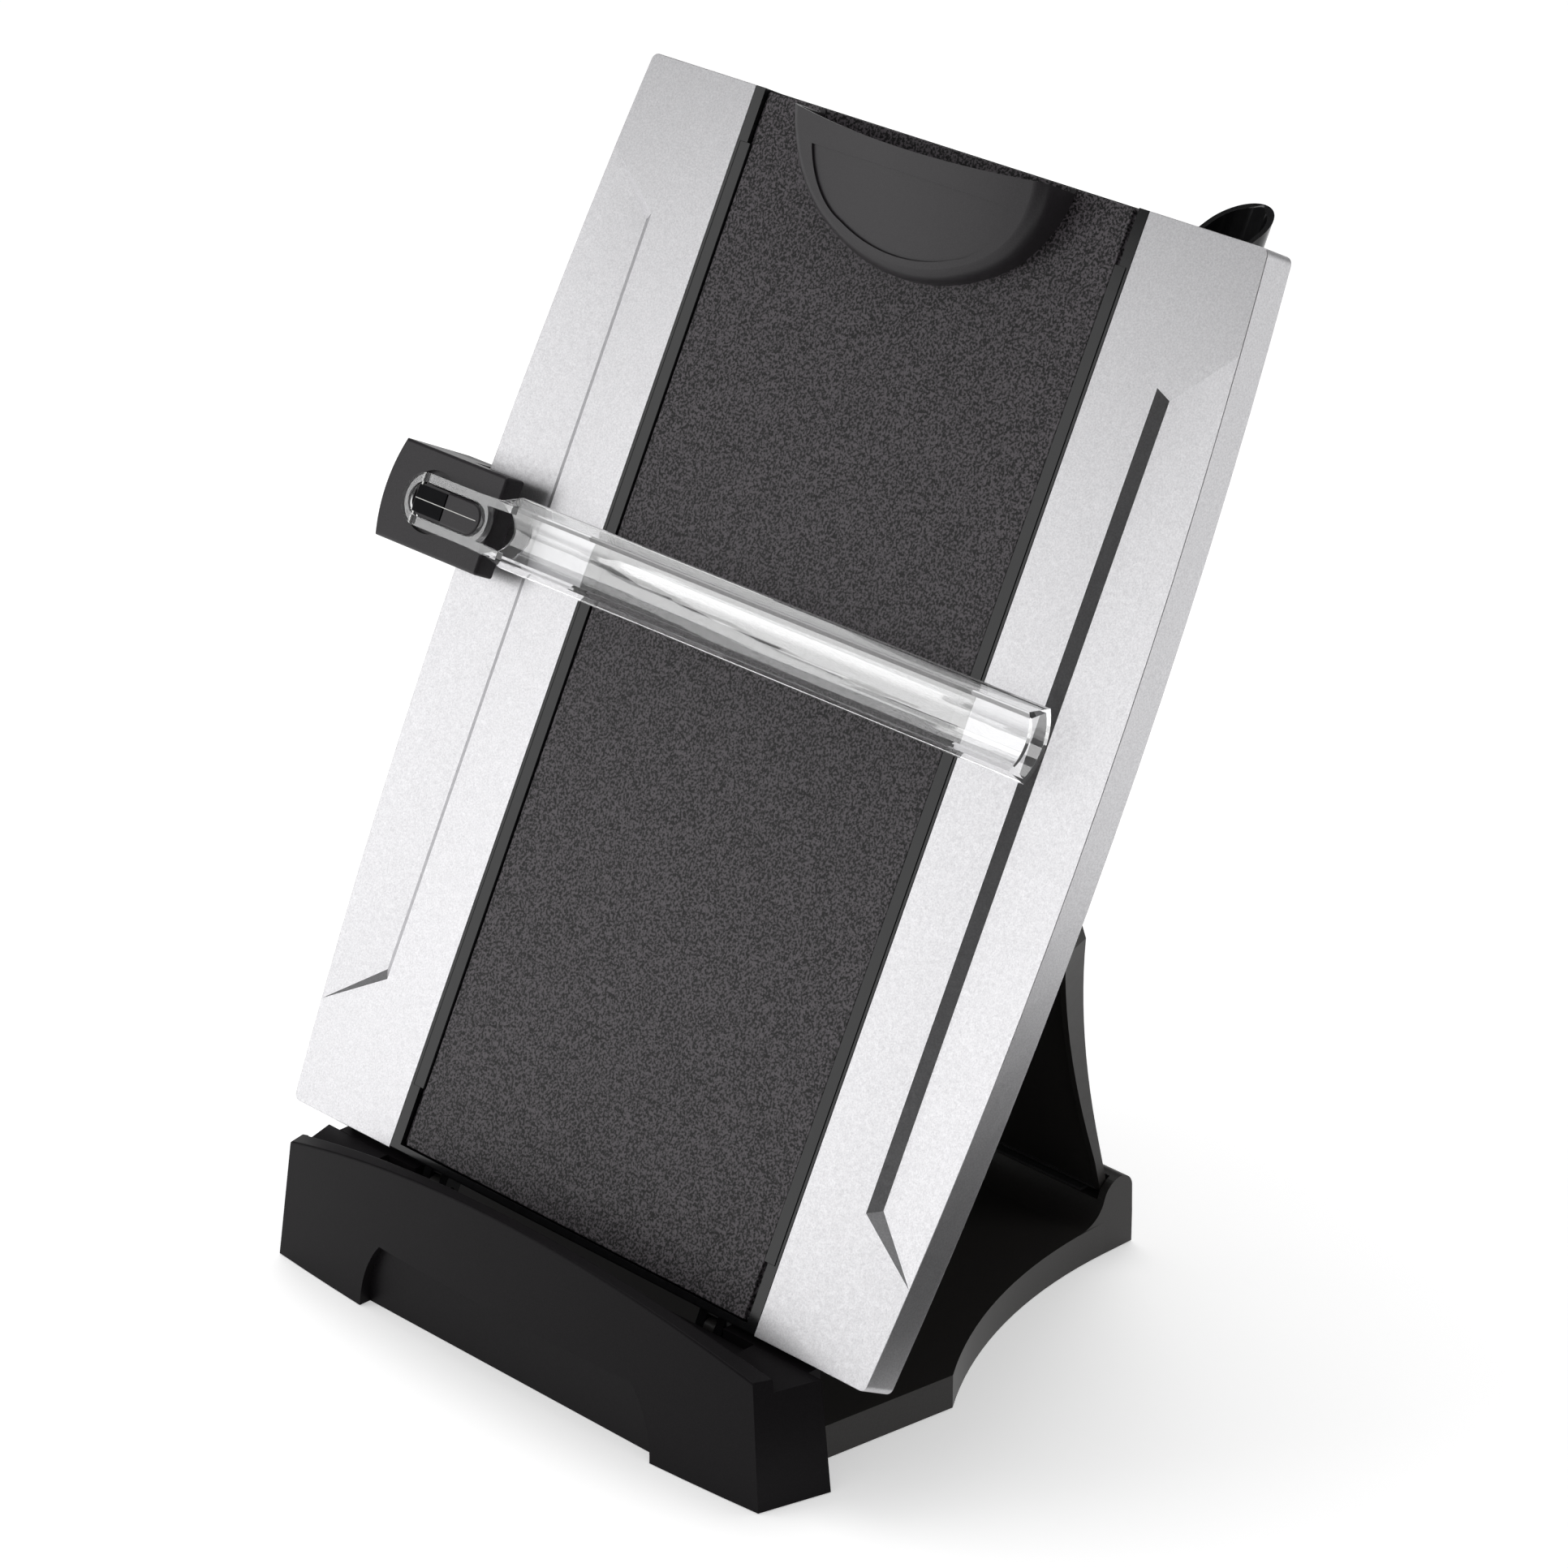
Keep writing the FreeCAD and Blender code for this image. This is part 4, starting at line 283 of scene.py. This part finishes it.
def moulded_plastic(name, colour, roughness, specular, grain, depth, spread=0.15):
    """Plain moulded plastic: a faint fine texture and a slightly uneven sheen."""
    material, tree, shader = new_material(name, colour, roughness, specular=specular)
    fine = noise(tree, grain, detail=2.0)
    dark = tuple(c * (1 - spread) for c in colour)
    light = tuple(c * (1 + spread) for c in colour)
    tree.links.new(ramp(tree, fine, (0.35, dark), (0.65, light)), shader.inputs["Base Color"])
    broad = noise(tree, 25 * MM, detail=1.0)
    tree.links.new(span(tree, broad, roughness * 0.97, roughness * 1.03), shader.inputs["Roughness"])
    bump(tree, shader, fine, depth, 0.5)
    return material


def rubber():
    return moulded_plastic("rubber", (0.028, 0.028, 0.029), 0.82, 0.3, 0.5 * MM, 0.05 * MM, spread=0.3)


def zinc_steel():
    material, tree, shader = new_material("steel", (0.62, 0.62, 0.6), 0.32, metallic=1.0)
    wear = noise(tree, 1.5 * MM, detail=3.0)
    tree.links.new(ramp(tree, wear, (0.35, (0.5, 0.5, 0.49)), (0.65, (0.7, 0.7, 0.68))),
                   shader.inputs["Base Color"])
    tree.links.new(span(tree, wear, 0.26, 0.4), shader.inputs["Roughness"])
    bump(tree, shader, wear, 0.01 * MM, 0.4)
    return material


def clear_acrylic():
    material, tree, shader = new_material("clear", (0.99, 0.992, 0.996), 0.015,
                                          coat=0.7, coat_roughness=0.02)
    # A twentieth of the white base is not transmitted and shows as a faint milky haze: painted brightness
    # that stands in for part of the pale reflection across the bar.
    shader.inputs["Transmission Weight"].default_value = 0.95
    shader.inputs["IOR"].default_value = 1.49
    shader.inputs["Coat IOR"].default_value = 1.9
    broad = noise(tree, 45 * MM, detail=1.0)
    tree.links.new(span(tree, broad, 0.012, 0.03), shader.inputs["Roughness"])
    return material


FINISHES = {
    "silver": silver_lacquer(),
    "textured_charcoal": textured_charcoal(),
    "black_plastic": moulded_plastic("black_plastic", (0.019, 0.0176, 0.0168), 0.42, 0.3,
                                     0.5 * MM, 0.015 * MM),
    "satin_black": moulded_plastic("satin_black", (0.0095, 0.0085, 0.0095), 0.38, 0.07,
                                   0.4 * MM, 0.012 * MM),
    "satin_charcoal": moulded_plastic("satin_charcoal", (0.026, 0.0235, 0.026), 0.36, 0.3,
                                      0.4 * MM, 0.012 * MM),
    "window_black": moulded_plastic("window_black", (0.003, 0.003, 0.004), 0.2, 0.04,
                                    3 * MM, 0.004 * MM),
    "gloss_black": moulded_plastic("gloss_black", (0.006, 0.006, 0.0065), 0.14, 0.4,
                                   3 * MM, 0.004 * MM),
    "rubber": rubber(),
    "steel": zinc_steel(),
    "white_slip": moulded_plastic("white_slip", (0.72, 0.72, 0.69), 0.45, 0.5,
                                  0.6 * MM, 0.01 * MM, spread=0.04),
    "clear": clear_acrylic(),
}


# The clip cup, the clamp's face and the boss are a shade lighter than the other black mouldings.
LIGHTER = {"clip_cup": "satin_charcoal", "clamp_front": "satin_charcoal", "guide_boss": "satin_charcoal"}


def finish_of(node):
    return FINISHES[LIGHTER.get(node, SLOT_OF[node])]


# ------------------------------------------------------------------ pieces
BOARD_TILT = math.radians(27.34)
BOARD_FOOT = 37.6 * MM
IN_BOARD_FRAME = (Matrix.Translation((0, 0, BOARD_FOOT))
                  @ Matrix(((1, 0, 0), (0, math.sin(BOARD_TILT), -math.cos(BOARD_TILT)),
                            (0, math.cos(BOARD_TILT), math.sin(BOARD_TILT)))).to_4x4())


def add_block(work, low, high, turn=Matrix()):
    """A box between two corners, in millimetres of the frame that turn stands for."""
    middle = [(a + b) / 2 * MM for a, b in zip(low, high)]
    sizes = [(b - a) * MM for a, b in zip(low, high)]
    place = turn @ Matrix.Translation(middle) @ Matrix.Diagonal((*sizes, 1))
    bmesh.ops.create_cube(work, size=1, matrix=place)


# The paper shelf's ends, in millimetres: where the CAD cut runs out through the front wall.
SHELF_BREAK = 92.9
SHELF_CUT_BACK = -14.6
SHELF_CUT_LOW = 32.3
SHELF_CUT_HIGH = 36.2

# The low lip behind the shelf, in millimetres.
LIP_INNER = 66.5
LIP_OUTER = 101.0
LIP_FRONT = -0.4
LIP_BACK = 4.3
LIP_LOW = 24.8
LIP_HIGH = 35.2


def end_fill(mesh, side):
    """The wedge of the front wall that the cut took away below one end of the lip."""
    work = bmesh.new()
    mouth = [v.co for v in mesh.vertices
             if side * v.co.x > SHELF_BREAK * MM and v.co.y < SHELF_CUT_BACK * MM
             and SHELF_CUT_LOW * MM < v.co.z < SHELF_CUT_HIGH * MM]
    bmesh.ops.convex_hull(work, input=[work.verts.new(place) for place in mouth])
    wedge = bpy.data.meshes.new("wedge")
    work.to_mesh(wedge)
    work.free()
    return wedge


def rear_lip(side):
    """The low lip behind the shelf, between the hinge and the ledge's end."""
    near, far = sorted((side * LIP_INNER, side * LIP_OUTER))
    work = bmesh.new()
    add_block(work, (near, LIP_FRONT, LIP_LOW), (far, LIP_BACK, LIP_HIGH))
    lip = bpy.data.meshes.new("lip")
    work.to_mesh(lip)
    work.free()
    return lip


def mended_ledge(mesh):
    """The front ledge with its wall closed below the ends of the lip, and with the rear lips."""
    sides = (-1, 1)
    return fused(mesh, [end_fill(mesh, side) for side in sides] + [rear_lip(side) for side in sides])


def fused(mesh, additions):
    """The mesh with the additions made one with it."""
    whole = bpy.data.objects.new("whole", mesh)
    bpy.context.scene.collection.objects.link(whole)
    tools = []
    for addition in additions:
        tool = bpy.data.objects.new("tool", addition)
        bpy.context.scene.collection.objects.link(tool)
        tool.hide_render = True
        fuse = whole.modifiers.new("fuse", "BOOLEAN")
        fuse.operation = "UNION"
        fuse.solver = "EXACT"
        fuse.object = tool
        tools.append(tool)
    shaped = whole.evaluated_get(bpy.context.evaluated_depsgraph_get())
    result = bpy.data.meshes.new_from_object(shaped)
    for used in (whole, *tools):
        bpy.data.objects.remove(used)
    return result


WELD_DISTANCE = 1e-6
FLAT_WITHIN = math.radians(0.06)
ROUND_FROM = math.radians(50.0)


def weld(mesh):
    """Makes the CAD faces share their corners."""
    work = bmesh.new()
    work.from_mesh(mesh)
    bmesh.ops.remove_doubles(work, verts=work.verts, dist=WELD_DISTANCE)
    work.to_mesh(mesh)
    work.free()


def with_whole_faces(mesh):
    """Joins the triangles of each flat face, so that its shade is even."""
    work = bmesh.new()
    work.from_mesh(mesh)
    bmesh.ops.dissolve_limit(work, angle_limit=FLAT_WITHIN, verts=work.verts, edges=work.edges)
    work.to_mesh(mesh)
    work.free()


def dress(node, edge, sharp):
    """A copy of a CAD node with its finish: corners over ROUND_FROM are rounded by edge metres, and
    edges over sharp degrees stay crisp."""
    mesh = frame["nodes"][node].data.copy()
    weld(mesh)
    if node == "front_ledge":
        mesh = mended_ledge(mesh)
    with_whole_faces(mesh)
    piece = bpy.data.objects.new(node + "_finished", mesh)
    bpy.context.scene.collection.objects.link(piece)
    mesh.polygons.foreach_set("use_smooth", [True] * len(mesh.polygons))
    mesh.set_sharp_from_angle(angle=math.radians(sharp))
    rounding = piece.modifiers.new("rounding", "BEVEL")
    rounding.width = edge
    rounding.segments = 2
    rounding.limit_method = "ANGLE"
    rounding.angle_limit = ROUND_FROM
    rounding.harden_normals = True
    even = piece.modifiers.new("even_shade", "WEIGHTED_NORMAL")
    even.keep_sharp = True
    even.weight = 100
    shaped = piece.evaluated_get(bpy.context.evaluated_depsgraph_get())
    applied = bpy.data.meshes.new_from_object(shaped)
    piece.modifiers.clear()
    piece.data = applied
    applied.materials.clear()
    applied.materials.append(finish_of(node))
    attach(piece, BODY_OF[node])
    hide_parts(node)
    return piece


TRIM_ROUND = 0.04


def add_trim(name, low, high, finish, body):
    """A thin inlay on the board side: a block with a small round on its edges."""
    work = bmesh.new()
    add_block(work, low, high, IN_BOARD_FRAME)
    bmesh.ops.bevel(work, geom=work.edges[:], offset=TRIM_ROUND * MM, segments=2, affect="EDGES",
                    profile=0.5)
    mesh = bpy.data.meshes.new(name)
    work.to_mesh(mesh)
    work.free()
    mesh.materials.append(FINISHES[finish])
    piece = bpy.data.objects.new(name, mesh)
    bpy.context.scene.collection.objects.link(piece)
    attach(piece, body)
    return piece


def finish_in_place(node):
    """The CAD node itself carries its finish."""
    shown = frame["nodes"][node]
    shown.data.materials.clear()
    shown.data.materials.append(finish_of(node))


# The round on a node's corners, in millimetres, and the angle in degrees over which its edges stay crisp.
ROUNDED = {
    "left_wing": (0.3, 4), "right_wing": (0.3, 4), "centre_panel": (0.25, 30),
    "board_frame": (0.2, 30), "left_rail": (0.2, 30), "right_rail": (0.2, 30), "rear_cover": (0.3, 30),
    "pen_cup": (0.3, 30), "leg_brackets": (0.2, 30), "base_plate": (0.35, 30), "front_ledge": (0.4, 30),
    "support_leg": (0.3, 30), "clamp_front": (0.25, 30), "clamp_rear": (0.25, 30), "guide_boss": (0.15, 30),
    "line_guide_bar": (0.2, 30),
}

dressed = {}
for node_name in SLOT_OF:
    if node_name in ROUNDED:
        edge_size, sharp_angle = ROUNDED[node_name]
        dressed[node_name] = dress(node_name, edge_size * MM, sharp_angle)
    else:
        finish_in_place(node_name)

# The boss's dark window and its white line, in millimetres of the board's own frame.
BOSS_TOP = 15.5
GUIDE_LINE = 185.0
WINDOW_LEFT = -141.5
WINDOW_RIGHT = -129.0
WINDOW_HALF = 4.2
WINDOW_SUNK = 0.3
WINDOW_PROUD = 0.05
LINE_RIGHT = -114.5
LINE_HALF = 0.12
LINE_SUNK = 0.2
LINE_PROUD = 0.1
add_trim("boss_window",
         (WINDOW_LEFT, GUIDE_LINE - WINDOW_HALF, BOSS_TOP - WINDOW_SUNK),
         (WINDOW_RIGHT, GUIDE_LINE + WINDOW_HALF, BOSS_TOP + WINDOW_PROUD),
         "window_black", BODY_OF["guide_boss"])
add_trim("boss_line",
         (WINDOW_LEFT, GUIDE_LINE - LINE_HALF, BOSS_TOP - LINE_SUNK),
         (LINE_RIGHT, GUIDE_LINE + LINE_HALF, BOSS_TOP + LINE_PROUD),
         "white_slip", BODY_OF["guide_boss"])

make_camera()
make_world(ambient=0.5, sweep_top=0.05, dark_from=0.22, dark=0.045)
make_floor(half_size=4.0, paleness=0.9, glow=0.42)

# The key light stands about where the board mirrors the line of sight at BOARD_SPOT.
BOARD_SPOT = Vector((-0.06, 0.041, 0.118))
BOARD_MIRROR = Vector((-0.651, -0.707, 0.276))
KEY_DISTANCE = 0.9
KEY_SHIFT = Vector((0.08, -0.02, 0.03))
KEY_PLACE = BOARD_SPOT + BOARD_MIRROR * KEY_DISTANCE + KEY_SHIFT
key_light = soft_box("key_light", KEY_PLACE, BOARD_SPOT, width=0.66, height=0.62, power=2.05)

TOP_PLACE = (-0.35, 0.45, 1.6)
soft_box("top_light", TOP_PLACE, (cad_box[0] + cad_box[1]) / 2, width=1.0, height=1.0, power=8.0)

# The side light reaches only the dark pieces behind the board.
SIDE_PLACE = (1.05, 1.0, 0.3)
SIDE_TARGET = (0, 0.05, 0.1)
side_light = soft_box("side_light", SIDE_PLACE, SIDE_TARGET, width=0.6, height=0.5, power=8.0)
only_on(side_light, [dressed[node] for node in ("base_plate", "support_leg", "leg_brackets", "rear_cover")])

# The cards darken what the board's right side and the wings' creases reflect. One stands, one lies.
STANDING_NEAR = (-0.055, -1.055)
STANDING_FAR = (1.4, 0.27)
STANDING_HEIGHT = 0.62
black_card("right_card", [(*STANDING_NEAR, 0.0), (*STANDING_FAR, 0.0),
                          (*STANDING_FAR, STANDING_HEIGHT), (*STANDING_NEAR, STANDING_HEIGHT)])
LYING_LEFT, LYING_RIGHT = 0.15, 0.36
LYING_FRONT, LYING_BACK = -0.1, 0.26
LYING_HEIGHT = 0.002
black_card("floor_card", [(LYING_LEFT, LYING_FRONT, LYING_HEIGHT), (LYING_RIGHT, LYING_FRONT, LYING_HEIGHT),
                          (LYING_RIGHT, LYING_BACK, LYING_HEIGHT), (LYING_LEFT, LYING_BACK, LYING_HEIGHT)])

# The bar has a long narrow lamp of its own, whose reflection is a pale band along it.
GUIDE_SPOT = Vector((0.105, 0.073, 0.208))
GUIDE_LAMP = Vector((-0.52, -0.50, 0.36))
line_guide = dressed["line_guide_bar"]
guide_glint = soft_box("guide_glint", GUIDE_SPOT + GUIDE_LAMP, GUIDE_SPOT, width=0.16, height=1.5, power=2.2)
only_on(guide_glint, [line_guide])
not_on(key_light, [line_guide])
# Reflections leave the bar out, which keeps a bright blotch off the board.
line_guide.visible_glossy = False

bpy.context.scene.view_settings.view_transform = "Standard"
